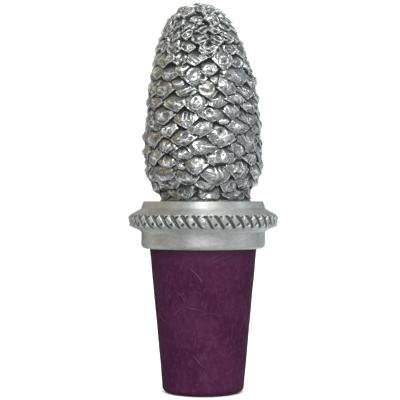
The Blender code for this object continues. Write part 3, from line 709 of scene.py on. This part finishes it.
# ------------------------------------------------------------------ the collar
def build_collar(columns):
    """Turned collar with its roped band, cut in one piece and bored for the stud."""
    outer = []
    bore, top, base = 3.3, 39.86, 30.07

    def run(points, n):
        """Add n rings from the last point through the given ones, on a soft curve."""
        pts = np.array([outer[-1]] + points)
        k = np.concatenate([[0], np.cumsum(np.hypot(*np.diff(pts, axis=0).T))])
        for q in np.linspace(0, k[-1], n + 1)[1:]:
            outer.append((float(np.interp(q, k, pts[:, 0])), float(np.interp(q, k, pts[:, 1]))))

    outer.append((bore, top))
    run([(8.0, top)], 1)
    run([(12.44, top)], 4)
    run([(12.56, top - 0.11)], 2)
    run([(13.02, 38.42)], 8)
    run([(13.16, 38.28)], 1)
    run([(14.28, 37.66), (15.06, 37.22)], 9)
    run([(15.33, 37.04), (15.47, 36.7), (15.53, 36.2), (15.53, 35.75), (15.48, 35.3), (15.36, 34.92), (15.1, 34.62),
         (14.6, 34.38), (13.86, 34.1)], 44)
    run([(13.35, 33.82), (13.12, 33.62)], 5)
    run([(13.0, 33.42)], 2)
    run([(12.95, 33.34)], 1)
    run([(12.97, 31.02)], 9)
    for i in range(1, 9):
        a = math.radians(90.0 * i / 8)
        outer.append((12.97 - 0.95 + 0.95 * math.cos(a), base + 0.95 - 0.95 * math.sin(a)))
    run([(11.3, base)], 2)
    run([(bore, base)], 2)
    run([(bore, top)], 4)
    outer.pop()
    prof = np.array(outer)
    rings = len(prof)
    ang = np.linspace(0.0, 2.0 * math.pi, columns, endpoint=False)
    R = np.repeat(prof[:, :1], columns, 1)
    Z = np.repeat(prof[:, 1:2], columns, 1)
    A = np.repeat(ang[None, :], rings, 0)

    # the rope: slanted grooves, each with a short cut across it above and a notch beside it below
    strands, slant, high, low = 42, 2.55, 37.22, 34.14
    t = (high - Z) / (high - low)
    on = (R > 13.7) * step(-0.03, 0.04, t) * step(1.04, 0.96, t)
    az = (np.degrees(A) + 90.0 + 180.0) % 360.0 - 180.0
    wob = noise(np.stack([np.cos(A) * 11, np.sin(A) * 11, Z * 0.8], -1).reshape(-1, 3), 3).reshape(R.shape)
    fine = fbm(np.stack([R * np.cos(A), R * np.sin(A), Z], -1).reshape(-1, 3) * 1.6, 2, 4).reshape(R.shape)
    joint = np.exp(-((az - 1.5) / 3.4) ** 2)
    ph = strands * (az + 8.03 + slant * (Z - 37.1)) / 360.0 + 0.5 - 0.10 * joint + 0.035 * wob
    cid = np.floor(ph)
    q = ph - cid - 0.5
    jit = np.sin(cid * 12.9898) * 43758.5453
    jit = jit - np.floor(jit) - 0.5
    jit2 = np.sin(cid * 78.233) * 12543.123
    jit2 = jit2 - np.floor(jit2) - 0.5
    width = (0.205 - 0.055 * t + 0.02 * jit) * (1.0 - 0.17 * step(-26.0, -12.0, az) * step(28.0, 14.0, az))
    groove = np.exp(-(np.abs(q) / width) ** 2.6) * step(0.00, 0.10, t) * step(0.99, 0.84, t + 0.06 * jit2)
    # to the left, a fine line runs beside each groove
    beside = step(-10.0, -24.0, az) * step(-100.0, -80.0, az) * step(0.02, 0.16, t) * step(0.97, 0.80, t)
    beside = beside * (np.exp(-(np.abs(q - 0.34) / 0.055) ** 2) + 0.7 * np.exp(-(np.abs(q + 0.36) / 0.05) ** 2) * step(-28.0, -44.0, az))
    # beside each groove, a nick above and a notch below, each with a short ridge at its side
    nick, ridge = np.zeros_like(R), np.zeros_like(R)
    for k in (-1, 0, 1):
        j1 = np.sin((cid - k) * 12.9898) * 43758.5453
        j2 = np.sin((cid - k) * 78.233) * 12543.123
        j1, j2 = j1 - np.floor(j1) - 0.5, j2 - np.floor(j2) - 0.5
        X, Y = 11.0 * (q + k) + 10.1 * t, 14.7 * t
        for cx, cy, long, wide, up, down in ((6.1 + 0.9 * j1, 2.3 + 0.5 * j2, 2.1, 1.05, 0.0, 0.38),
                                             (8.1 + 0.9 * j1, 3.5 + 0.5 * j2, 2.4, 0.80, 0.17, 0.0),
                                             (12.0 + 1.1 * j2, 9.5 + 0.7 * j1, 2.0, 1.25, 0.0, 0.40),
                                             (13.8 + 1.1 * j2, 11.6 + 0.7 * j1, 2.1, 0.75, 0.17, 0.0)):
            along, across = ((X - cx) - (Y - cy)) / 1.414, ((X - cx) + (Y - cy)) / 1.414
            spot = np.exp(-(np.abs(along) / long) ** 2.4 - (np.abs(across) / wide) ** 2.4)
            nick += down * spot
            ridge += up * spot
    chips = step(0.25, 0.55, noise(np.stack([R * np.cos(A), R * np.sin(A), Z], -1).reshape(-1, 3) * 2.1, 14).reshape(R.shape))
    cut = np.clip((0.48 * groove + nick * (1.0 - 0.6 * groove) + 0.26 * beside * (1.0 - groove)) * (1.0 - 0.5 * joint) + 0.34 * chips * joint * step(0.02, 0.1, t) * step(0.75, 0.6, t), 0.0, 0.52)
    swell = 0.05 * np.cos(2.0 * math.pi * q) * -1.0 + 0.045 * fine
    rim = 0.07 * np.exp(-((t - 0.005) / 0.03) ** 2) * (1.0 - groove) + ridge * (1.0 - groove)
    relief = on * (swell + rim - cut + joint * 0.10 * fine)
    R = R + relief * np.where(Z > 34.6, 1.0, 0.75)
    soft = noise(np.stack([np.cos(A) * 2.2, np.sin(A) * 2.2, Z * 0.35], -1).reshape(-1, 3), 8).reshape(R.shape)
    side = (prof[:, 0] > 12.45)[:, None]
    R = R + side * 0.018 * soft * (1.0 - on)
    cav = on * step(0.07, 0.27, cut)
    seam = 0.8 * np.exp(-((Z - 38.36) / 0.07) ** 2) + 0.5 * np.exp(-((Z - 33.42) / 0.06) ** 2)
    seam = seam * (prof[:, 0] > 12.5)[:, None]
    colors = np.stack([cav, np.clip(seam, 0, 1), on], axis=-1)
    pts = np.stack([R * np.cos(A), R * np.sin(A), Z], axis=-1)
    return grid_mesh("collar", pts, colors=colors)


# ------------------------------------------------------------------ the plug
# Fine creases in the rubber on the side that faces the camera: points in the view's pixels, and strength.
CREASES = [
    ([(189.5, 268.0), (193.0, 271.5), (197.0, 275.0), (200.5, 279.5), (202.0, 285.0)], 1.0),
    ([(206.0, 261.0), (212.0, 258.0), (218.0, 255.5), (224.0, 253.0)], 0.8),
    ([(208.0, 265.0), (217.0, 261.0), (226.0, 257.5), (233.0, 255.0)], 0.5),
    ([(214.0, 269.0), (224.0, 264.5), (232.0, 260.0)], 0.35),
    ([(177.0, 293.0), (180.5, 295.5), (183.5, 299.0), (184.5, 303.0)], 0.9),
    ([(180.0, 291.5), (184.0, 295.0), (187.0, 300.0)], 0.5),
    ([(184.5, 306.5), (191.0, 309.0), (198.0, 309.5), (204.0, 312.0)], 0.7),
    ([(173.0, 318.0), (177.0, 312.0), (183.0, 308.5)], 0.5),
    ([(199.0, 316.0), (207.0, 313.5), (214.0, 314.0), (221.0, 318.0)], 0.45),
    ([(196.0, 336.0), (195.0, 343.0), (193.5, 349.0)], 0.5),
    ([(191.5, 355.0), (196.0, 360.0), (200.0, 365.0), (206.5, 369.5)], 1.0),
    ([(177.0, 341.0), (176.5, 345.5), (179.0, 350.0)], 0.4),
    ([(229.5, 377.0), (231.5, 373.5), (234.0, 370.5)], 0.8),
    ([(236.0, 352.0), (234.0, 344.0), (236.0, 337.0)], 0.4),
    ([(240.0, 304.0), (243.5, 312.0), (244.0, 320.0)], 0.4),
    ([(206.0, 384.0), (213.0, 381.0), (219.0, 377.0)], 0.35),
    ([(163.0, 268.0), (167.0, 276.0), (166.0, 284.0)], 0.35),
]


def build_plug(columns):
    top, edge, r_end, r_top = 30.02, 1.3, 8.45, 11.2
    slope = (r_top - r_end) / 30.07
    prof = [(10.55, top)]
    for i in range(1, 5):
        a = math.radians(90.0 * i / 4)
        prof.append((10.92 + 0.26 * math.sin(a), top - 0.26 + 0.26 * math.cos(a)))
    rows = 196
    for i in range(1, rows + 1):
        z = (top - 0.26) + (edge - (top - 0.26)) * i / rows
        prof.append((r_end + slope * z, z))
    cx = r_end + slope * edge - edge
    for i in range(1, 13):
        a = math.radians(90.0 * i / 12)
        prof.append((cx + edge * math.cos(a), edge - edge * math.sin(a)))
    for q in (6.0, 4.0, 2.0):
        prof.append((q, 0.0))
    prof = np.array(prof)
    rings = len(prof)
    ang = np.linspace(0.0, 2.0 * math.pi, columns, endpoint=False)
    R = np.repeat(prof[:, :1], columns, 1)
    Z = np.repeat(prof[:, 1:2], columns, 1)
    A = np.repeat(ang[None, :], rings, 0)
    P = np.stack([R * np.cos(A), R * np.sin(A), Z], axis=-1).reshape(-1, 3)
    side = step(7.4, 8.6, prof[:, 0])[:, None] * step(0.0, 0.9, prof[:, 1])[:, None] * step(30.0, 29.0, prof[:, 1])[:, None]
    gentle = fbm(P * 0.16, 2, 41).reshape(R.shape) * 0.06
    gentle = gentle + fbm(P * np.array([0.6, 0.6, 0.3]), 3, 43).reshape(R.shape) * 0.022

    # light: painted highlight along each crease; shade: painted shade below it
    light, shade, relief = np.zeros(len(P)), np.zeros(len(P)), np.zeros(len(P))
    wave = 0.25 * fbm(P * 0.9, 2, 47)

    def crease(points, strength):
        """A fine raised line with a hollow below it, through points of the surface; the colour gets a painted
        highlight along the line and painted shade below it.
        """
        k = np.concatenate([[0], np.cumsum(np.linalg.norm(np.diff(points, axis=0), axis=1))])
        dense = np.stack([np.interp(np.linspace(0, k[-1], max(4, int(k[-1] / 0.12))), k, points[:, c]) for c in range(3)], axis=1)
        idx = np.nonzero(((P > points.min(0) - 1.0) & (P < points.max(0) + 1.0)).all(1))[0]
        if not len(idx):
            return
        d = np.linalg.norm(P[idx][:, None, :] - dense[None], axis=2)
        near = d.argmin(1)
        dist = d[np.arange(len(idx)), near]
        where = near / (len(dense) - 1)
        fade = np.sin(np.pi * np.clip(where, 0.02, 0.98)) ** 0.6 * (0.75 + wave[idx])
        below = P[idx, 2] < dense[near, 2]
        # painted highlight: a light line along the crease
        light[idx] = np.maximum(light[idx], strength * fade * np.exp(-(dist / 0.115) ** 2))
        # painted shade: a darker band below the crease
        shade[idx] = np.maximum(shade[idx], strength * fade * np.exp(-((dist - 0.27) / 0.13) ** 2) * below)
        relief[idx] += strength * fade * (0.045 * np.exp(-(dist / 0.15) ** 2) - 0.035 * np.exp(-((dist - 0.34) / 0.18) ** 2) * below)

    for pts, strength in CREASES:
        path = []
        for px, py in pts:
            z = 40.15 - (py - 200.0) * PX * (DIST - 9.8) / DIST
            r = r_end + slope * z
            path.append((math.asin(max(-0.98, min(0.98, (px - AXIS_PX) * PX * (DIST - 9.8) / DIST / r))) - math.pi / 2.0, z))
        path = np.array(path)
        rr = r_end + slope * path[:, 1]
        crease(np.stack([rr * np.cos(path[:, 0]), rr * np.sin(path[:, 0]), path[:, 1]], axis=1), strength)
    # the same kind of creases round the sides and the back
    for _ in range(26):
        a, z = RNG.uniform(math.radians(-28), math.radians(208)), RNG.uniform(4.0, 28.0)
        way, bend = RNG.uniform(0, 2 * math.pi), RNG.uniform(-0.5, 0.5)
        path = []
        for _ in range(5):
            r = r_end + slope * z
            path.append((r * math.cos(a), r * math.sin(a), z))
            way += bend * 0.6
            a += 0.95 * math.cos(way) / r
            z = min(28.6, max(2.0, z + 0.95 * math.sin(way)))
        crease(np.array(path), RNG.uniform(0.35, 0.95))
    relief, light, shade = relief.reshape(R.shape), light.reshape(R.shape), shade.reshape(R.shape)
    R = R + side * (gentle + relief)
    # the creases' painted highlight and painted shade, for the rubber's colour
    colors = np.stack([light * side, shade * side, np.zeros_like(R)], axis=-1)
    pts = np.stack([R * np.cos(A), R * np.sin(A), Z], axis=-1)
    # a blind hole for the stud
    ring = []
    for hr, hz in ((3.3, 15.9), (3.3, 22.0), (3.3, top), (7.0, top)):
        ring.append(np.stack([hr * np.cos(ang), hr * np.sin(ang), np.full(columns, hz)], axis=-1))
    pts = np.concatenate([np.array(ring), pts])
    colors = np.concatenate([np.zeros((4, columns, 3)), colors])
    return grid_mesh("rubber_plug", pts, closed_top=np.array([0, 0, 15.0]), closed_bottom=np.array([0, 0, 0.0]), colors=colors)


# ------------------------------------------------------------------ materials
class Nodes:
    """Small helper that adds and joins shader nodes."""

    def __init__(self, tree):
        self.tree = tree

    def add(self, kind, **values):
        node = self.tree.nodes.new(kind)
        for key, value in values.items():
            if key.startswith("_"):
                setattr(node, key[1:], value)
        return node

    def put(self, socket, value):
        if isinstance(value, bpy.types.NodeSocket):
            self.tree.links.new(value, socket)
        else:
            socket.default_value = value

    def math(self, op, a, b=None, c=None, clamp=False):
        node = self.tree.nodes.new("ShaderNodeMath")
        node.operation, node.use_clamp = op, clamp
        for i, v in enumerate((a, b, c)):
            if v is not None:
                self.put(node.inputs[i], v)
        return node.outputs[0]

    def ramp(self, value, low, high, to_low=0.0, to_high=1.0, smooth=True):
        node = self.tree.nodes.new("ShaderNodeMapRange")
        node.interpolation_type = 'SMOOTHSTEP' if smooth else 'LINEAR'
        for key, v in (("Value", value), ("From Min", low), ("From Max", high), ("To Min", to_low), ("To Max", to_high)):
            self.put(node.inputs[key], v)
        return node.outputs["Result"]

    def mix(self, fac, a, b, mode='MIX'):
        node = self.tree.nodes.new("ShaderNodeMix")
        node.data_type, node.blend_type = 'RGBA', mode
        self.put(node.inputs[0], fac)
        self.put(node.inputs[6], a if isinstance(a, bpy.types.NodeSocket) else (*a, 1.0))
        self.put(node.inputs[7], b if isinstance(b, bpy.types.NodeSocket) else (*b, 1.0))
        return node.outputs[2]

    def noise(self, vector, scale, detail=3.0, rough=0.55, distortion=0.0):
        node = self.tree.nodes.new("ShaderNodeTexNoise")
        self.put(node.inputs["Vector"], vector)
        node.inputs["Scale"].default_value = scale
        node.inputs["Detail"].default_value = detail
        node.inputs["Roughness"].default_value = rough
        node.inputs["Distortion"].default_value = distortion
        return node.outputs["Fac"]

    def bump(self, height, distance, strength=1.0, normal=None):
        node = self.tree.nodes.new("ShaderNodeBump")
        node.inputs["Strength"].default_value = strength
        node.inputs["Distance"].default_value = distance
        self.put(node.inputs["Height"], height)
        if normal is not None:
            self.put(node.inputs["Normal"], normal)
        return node.outputs["Normal"]


def new_material(name):
    mat = bpy.data.materials.new(name)
    mat.use_nodes = True
    tree = mat.node_tree
    tree.nodes.clear()
    out = tree.nodes.new("ShaderNodeOutputMaterial")
    bsdf = tree.nodes.new("ShaderNodeBsdfPrincipled")
    tree.links.new(bsdf.outputs[0], out.inputs[0])
    return mat, Nodes(tree), bsdf


def object_coords(n):
    return n.add("ShaderNodeTexCoord").outputs["Object"]


def split(n, vector):
    node = n.add("ShaderNodeSeparateXYZ")
    n.put(node.inputs[0], vector)
    return node.outputs


def join(n, x, y, z):
    node = n.add("ShaderNodeCombineXYZ")
    for i, v in enumerate((x, y, z)):
        n.put(node.inputs[i], v)
    return node.outputs[0]


def attribute(n, name):
    node = n.add("ShaderNodeAttribute")
    node.attribute_name = name
    sep = n.add("ShaderNodeSeparateColor")
    n.put(sep.inputs[0], node.outputs["Color"])
    return sep.outputs


def cast_pewter():
    """Antiqued casting: dark patina in the crevices; the high places and rims lighter, partly polish and partly
    painted highlight.
    """
    mat, n, bsdf = new_material("cast_pewter")
    xyz = object_coords(n)
    x, y, z = split(n, xyz)
    deep, high, tone = attribute(n, "relief")
    cloud = n.noise(xyz, 420.0, 4.0, 0.6)
    speck = n.noise(xyz, 2600.0, 3.0, 0.6)
    grime = n.math('ADD', deep, n.math('MULTIPLY', n.math('SUBTRACT', cloud, 0.5), 0.35))
    dark = n.ramp(grime, 0.545, 0.79)
    polish_and_painted_highlight = n.ramp(grime, 0.50, 0.22)
    metal = n.mix(tone, (0.280, 0.291, 0.297), (0.358, 0.369, 0.373))
    metal = n.mix(n.ramp(cloud, 0.35, 0.7), metal, (0.345, 0.335, 0.32))
    # high places and rims lighter: partly polish, partly painted highlight
    metal = n.mix(polish_and_painted_highlight, metal, (0.52, 0.527, 0.529))
    # painted highlight: near-white thin lines on the sharpest rims
    metal = n.mix(n.ramp(grime, 0.31, 0.17), metal, (0.72, 0.729, 0.73))
    # painted shade: darker towards the foot, where the cone meets the collar
    metal = n.mix(n.ramp(z, 0.0440, 0.0415, 0.0, 0.24), metal, (0.050, 0.053, 0.051))
    # painted light: the tip made lighter
    metal = n.mix(n.ramp(z, 0.0700, 0.0790, 0.0, 0.14), metal, (0.57, 0.577, 0.578))
    color = n.mix(dark, metal, (0.050, 0.053, 0.051))
    n.put(bsdf.inputs["Base Color"], color)
    n.put(bsdf.inputs["Metallic"], n.ramp(dark, 0.2, 1.0, 1.0, 0.6))
    rough = n.ramp(speck, 0.3, 0.7, 0.22, 0.29)
    rough = n.math('ADD', rough, n.math('MULTIPLY', dark, 0.35))
    rough = n.math('SUBTRACT', rough, n.math('MULTIPLY', polish_and_painted_highlight, 0.06))
    n.put(bsdf.inputs["Roughness"], rough)
    small = n.noise(xyz, 1500.0, 4.0, 0.6, 0.4)
    n.put(bsdf.inputs["Normal"], n.bump(small, 0.00003, 0.5))
    return mat


def turned_pewter():
    """Brushed round the axis, with fine lines from the lathe and dark in the rope's grooves."""
    mat, n, bsdf = new_material("turned_pewter")
    xyz = object_coords(n)
    x, y, z = split(n, xyz)
    deep, seam, rope = attribute(n, "relief")
    around = n.math('ARCTAN2', y, x)
    radius = n.math('SQRT', n.math('ADD', n.math('MULTIPLY', x, x), n.math('MULTIPLY', y, y)))
    # long thin lines round the axis, on the sides and on the flat faces
    lines = n.noise(join(n, n.math('MULTIPLY', around, 0.0022), n.math('MULTIPLY', radius, 1.0), z), 9000.0, 3.0, 0.6)
    coarse = n.noise(join(n, n.math('MULTIPLY', around, 0.004), radius, z), 2600.0, 2.0, 0.5)
    cloud = n.noise(xyz, 260.0, 3.0, 0.55)
    metal = n.mix(n.ramp(lines, 0.3, 0.7), (0.53, 0.54, 0.53), (0.66, 0.67, 0.66))
    metal = n.mix(n.ramp(cloud, 0.4, 0.75, 0.0, 0.5), metal, (0.50, 0.485, 0.45))
    metal = n.mix(n.ramp(coarse, 0.50, 0.66, 0.0, 0.45), metal, (0.76, 0.77, 0.77))
    metal = n.mix(n.ramp(coarse, 0.46, 0.32, 0.0, 0.40), metal, (0.42, 0.42, 0.41))
    speck = n.noise(xyz, 2400.0, 3.0, 0.6)
    metal = n.mix(n.ramp(speck, 0.56, 0.70, 0.0, 0.35), metal, (0.78, 0.79, 0.79))
    dark = n.ramp(n.math('ADD', deep, n.math('MULTIPLY', n.math('SUBTRACT', speck, 0.5), 0.5)), 0.30, 0.85)
    dark = n.math('MAXIMUM', dark, n.math('MULTIPLY', seam, 0.35))
    color = n.mix(dark, metal, (0.140, 0.149, 0.142))
    n.put(bsdf.inputs["Base Color"], color)
    n.put(bsdf.inputs["Metallic"], n.ramp(dark, 0.3, 1.0, 1.0, 0.7))
    plain = n.math('SUBTRACT', 1.0, rope)
    rough = n.ramp(coarse, 0.3, 0.7, 0.44, 0.54)
    rough = n.math('ADD', rough, n.math('MULTIPLY', dark, 0.15))
    n.put(bsdf.inputs["Roughness"], n.math('SUBTRACT', rough, n.math('MULTIPLY', rope, 0.08)))
    # lathe lines spread the light up and down
    tangent = n.add("ShaderNodeTangent")
    tangent.direction_type, tangent.axis = 'RADIAL', 'Z'
    n.put(bsdf.inputs["Tangent"], tangent.outputs[0])
    bsdf.inputs["Anisotropic Rotation"].default_value = 0.25
    bsdf.inputs["Anisotropic"].default_value = 0.76
    height = n.math('ADD', n.math('MULTIPLY', lines, plain), n.math('MULTIPLY', n.math('MULTIPLY', speck, rope), 1.6))
    n.put(bsdf.inputs["Normal"], n.bump(height, 0.000030, 0.6))
    return mat


def plum_rubber():
    """Moulded rubber with a soft sheen, faint marbling and rubbed scratches."""
    mat, n, bsdf = new_material("plum_rubber")
    xyz = object_coords(n)
    x, y, z = split(n, xyz)
    # line: painted highlight along the creases; shade: painted shade below them
    line, shade, _ = attribute(n, "relief")
    cloud = n.noise(xyz, 130.0, 4.0, 0.6, 0.6)
    marble = n.noise(join(n, n.math('MULTIPLY', x, 1.3), n.math('MULTIPLY', y, 1.3), z), 300.0, 5.0, 0.62, 1.5)
    speck = n.noise(xyz, 3200.0, 2.0, 0.5)
    grain = n.noise(join(n, x, y, n.math('MULTIPLY', z, 0.7)), 1300.0, 4.0, 0.7, 0.8)
    base = n.mix(n.ramp(cloud, 0.35, 0.68), (0.053, 0.0120, 0.0390), (0.071, 0.0190, 0.0535))
    base = n.mix(n.ramp(grain, 0.30, 0.50, 0.5, 0.0), base, (0.038, 0.0060, 0.0270))
    base = n.mix(n.ramp(grain, 0.52, 0.74, 0.0, 0.7), base, (0.118, 0.0450, 0.0940))
    base = n.mix(n.ramp(marble, 0.52, 0.66, 0.0, 0.4), base, (0.095, 0.0320, 0.0740))
    # painted shade below the creases
    base = n.mix(n.math('MULTIPLY', shade, 0.8), base, (0.022, 0.0035, 0.0155))
    # painted highlight along the creases
    base = n.mix(n.math('MULTIPLY', line, 0.70), base, (0.195, 0.098, 0.165))
    # painted light: the top of the plug, in the collar's shadow, made lighter
    base = n.mix(n.ramp(z, 0.0262, 0.0296, 0.0, 0.45), base, (0.100, 0.0360, 0.0780))
    n.put(bsdf.inputs["Base Color"], base)
    rough = n.ramp(marble, 0.3, 0.75, 0.46, 0.60)
    rough = n.math('ADD', rough, n.math('MULTIPLY', n.math('SUBTRACT', speck, 0.5), 0.12))
    n.put(bsdf.inputs["Roughness"], rough)
    bsdf.inputs["Specular IOR Level"].default_value = 0.03
    # hair-fine scratches that run mostly along the plug
    around = n.math('MULTIPLY', n.math('ARCTAN2', y, x), 0.010)
    scratch = n.noise(join(n, n.math('ADD', around, n.math('MULTIPLY', z, 0.12)), 0.0, n.math('MULTIPLY', z, 0.05)), 5200.0, 2.0, 0.5)
    fine = n.ramp(scratch, 0.62, 0.72)
    height = n.math('SUBTRACT', n.math('MULTIPLY', speck, 0.45), n.math('MULTIPLY', fine, 0.5))
    n.put(bsdf.inputs["Normal"], n.bump(height, 0.00003, 0.5))
    return mat


def plated_steel():
    """The hidden stud: plated, with fine drawn lines and a little oil tone in the thread."""
    mat, n, bsdf = new_material("plated_steel")
    xyz = object_coords(n)
    x, y, z = split(n, xyz)
    lines = n.noise(join(n, x, y, n.math('MULTIPLY', z, 6.0)), 1500.0, 3.0, 0.6)
    cloud = n.noise(xyz, 500.0, 3.0, 0.6)
    n.put(bsdf.inputs["Base Color"], n.mix(n.ramp(cloud, 0.35, 0.7), (0.60, 0.60, 0.61), (0.50, 0.49, 0.46)))
    bsdf.inputs["Metallic"].default_value = 1.0
    n.put(bsdf.inputs["Roughness"], n.ramp(lines, 0.3, 0.7, 0.22, 0.38))
    n.put(bsdf.inputs["Normal"], n.bump(lines, 0.00002, 0.5))
    return mat


def dress(ob, mat):
    ob.data.materials.clear()
    ob.data.materials.append(mat)


# ------------------------------------------------------------------ pieces
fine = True
cone = build_cone(640 if fine else 420, 400 if fine else 260, 192000 if fine else 10 ** 9)
collar = build_collar(946)
plug = build_plug(440)

dress(cone, cast_pewter())
dress(collar, turned_pewter())
dress(plug, plum_rubber())
dress(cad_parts["threaded_stud"], plated_steel())

for piece, node, slot in ((cone, "pinecone_finial", "cast_pewter"), (collar, "roped_collar", "brushed_pewter"),
                          (plug, "stopper_plug", "plum_rubber")):
    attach(piece, "root")
    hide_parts(node)


# ------------------------------------------------------------------ floor, lights
def make_floor():
    me = bpy.data.meshes.new("floor")
    n, radius = 96, 0.6
    verts = [(0.0, 0.0, 0.0)] + [(radius * math.cos(2 * math.pi * i / n), radius * math.sin(2 * math.pi * i / n), 0.0)
                                 for i in range(n)]
    me.from_pydata(verts, [], [(0, i + 1, (i + 1) % n + 1) for i in range(n)])
    ob = bpy.data.objects.new("floor", me)
    bpy.context.scene.collection.objects.link(ob)
    mat, nd, bsdf = new_material("paper")
    grain = nd.noise(object_coords(nd), 900.0, 3.0, 0.5)
    nd.put(bsdf.inputs["Base Color"], nd.mix(grain, (0.86, 0.86, 0.86), (0.90, 0.90, 0.90)))
    bsdf.inputs["Roughness"].default_value = 0.8
    bsdf.inputs["Specular IOR Level"].default_value = 0.1
    dress(ob, mat)
    ob.visible_glossy = False
    ob.visible_diffuse = False


def area(name, where, aim, width, height, radiance, color=(1.0, 1.0, 1.0)):
    """A soft panel that faces a point. Its power follows from its size and how bright its face is."""
    light = bpy.data.lights.new(name, 'AREA')
    light.shape = 'RECTANGLE'
    light.size, light.size_y = width, height
    light.energy = radiance * math.pi * width * height
    light.color = color
    ob = bpy.data.objects.new(name, light)
    bpy.context.scene.collection.objects.link(ob)
    ob.location = where
    ob.rotation_euler = (Vector(aim) - Vector(where)).to_track_quat('-Z', 'Y').to_euler()
    return ob


def around(azimuth, elevation, distance):
    """A place seen from the stopper: azimuth 0 is the camera's side, 90 the right."""
    a, e = math.radians(azimuth), math.radians(elevation)
    return (distance * math.sin(a) * math.cos(e), -distance * math.cos(a) * math.cos(e), 0.05 + distance * math.sin(e))


def make_lights():
    mid = (0.0, 0.0, 0.05)
    area("key_a", around(-18.0, 41.0, 0.60), mid, 0.07, 0.22, 2.6, (0.70, 0.92, 1.24))
    area("key_b", around(-7.5, 41.0, 0.60), mid, 0.135, 0.22, 5.0, (0.93, 1.0, 1.05))
    area("key_d", around(6.0, 41.0, 0.60), mid, 0.142, 0.22, 5.7, (1.04, 1.0, 0.93))
    area("key_c", around(18.0, 41.0, 0.60), mid, 0.16, 0.20, 1.9, (1.08, 1.0, 0.84))
    area("high", around(38.0, 66.0, 0.60), mid, 0.16, 0.14, 4.0)
    area("over", Vector((0.065, 0.12, 0.65)), mid, 0.30, 0.22, 1.2)
    area("left", around(-98.0, 26.0, 0.62), mid, 0.05, 0.20, 2.2, (1.0, 0.92, 0.74))
    area("left_small", around(-66.0, 44.0, 0.62), mid, 0.025, 0.09, 8.0, (1.0, 0.98, 0.92))
    right = area("right", around(80.0, 34.0, 0.62), mid, 0.022, 0.13, 14.0, (0.94, 0.98, 1.0))
    right.visible_diffuse = False
    area("right_small", around(86.0, 20.0, 0.62), mid, 0.025, 0.12, 7.0, (0.94, 0.98, 1.0))
    area("far_right", around(98.0, 6.0, 0.62), mid, 0.05, 0.26, 2.5, (0.90, 0.97, 1.04))
    area("low_a", around(-14.0, -13.0, 0.66), mid, 0.09, 0.12, 3.4, (0.88, 0.97, 1.10))
    area("low_b", around(4.0, -13.0, 0.66), mid, 0.07, 0.12, 6.2, (1.08, 0.98, 0.86))
    fill = area("fill", around(7.0, 4.0, 0.66), mid, 0.16, 0.30, 21.5)
    fill.visible_glossy = False


def make_world():
    """White paper behind, a soft white dome overhead, and a pale room in the metal's reflections."""
    world = bpy.data.worlds.new("studio")
    bpy.context.scene.world = world
    world.use_nodes = True
    world.cycles.sampling_method = 'NONE'
    tree = world.node_tree
    tree.nodes.clear()
    n = Nodes(tree)
    out = n.add("ShaderNodeOutputWorld")
    x, y, z = split(n, n.add("ShaderNodeTexCoord").outputs["Generated"])
    side = n.ramp(x, -0.7, 0.7)
    ahead = n.ramp(y, -0.35, -0.97)
    level = n.mix(side, (0.455, 0.44, 0.385), (0.56, 0.615, 0.64))
    level = n.mix(ahead, level, (0.70, 0.71, 0.69))
    raised = n.mix(side, (0.45, 0.435, 0.385), (0.565, 0.60, 0.615))
    room = n.mix(n.ramp(z, 0.20, 0.55), level, raised)
    room = n.mix(n.ramp(n.math('ADD', z, n.math('MULTIPLY', y, 0.5)), 0.80, 1.10), room, (0.70, 0.74, 0.75))
    room = n.mix(n.ramp(z, -0.20, -0.60), room, (0.80, 0.84, 0.86))
    # dark and light things that stand about in it
    things = n.noise(n.add("ShaderNodeTexCoord").outputs["Generated"], 3.8, 1.0, 0.5)
    room = n.mix(n.ramp(things, 0.52, 0.58), room, (0.07, 0.07, 0.075))
    room = n.mix(n.ramp(things, 0.42, 0.36), room, (1.50, 1.54, 1.56))

    # a warm wall on the left
    facing = n.math('ADD', n.math('MULTIPLY', x, -0.86), n.math('MULTIPLY', z, 0.50))
    room = n.mix(n.ramp(facing, 0.80, 0.97), room, (0.46, 0.415, 0.300))

    def glow(color, strength):
        node = n.add("ShaderNodeBackground")
        n.put(node.inputs["Color"], color)
        node.inputs["Strength"].default_value = strength
        return node.outputs[0]

    def either(fac, a, b):
        node = n.add("ShaderNodeMixShader")
        n.put(node.inputs[0], fac)
        tree.links.new(a, node.inputs[1])
        tree.links.new(b, node.inputs[2])
        return node.outputs[0]

    path = n.add("ShaderNodeLightPath")
    dome = n.mix(n.ramp(z, 0.30, 0.72), (0.10, 0.10, 0.10), (2.05, 2.05, 2.05))
    mixed = either(path.outputs["Is Diffuse Ray"], glow(room, 1.0), glow(dome, 1.0))
    mixed = either(path.outputs["Is Camera Ray"], mixed, glow((1.0, 1.0, 1.0, 1.0), 1.05))
    tree.links.new(mixed, out.inputs[0])


make_floor()
make_lights()
make_world()
bpy.context.scene.view_settings.view_transform = 'Standard'
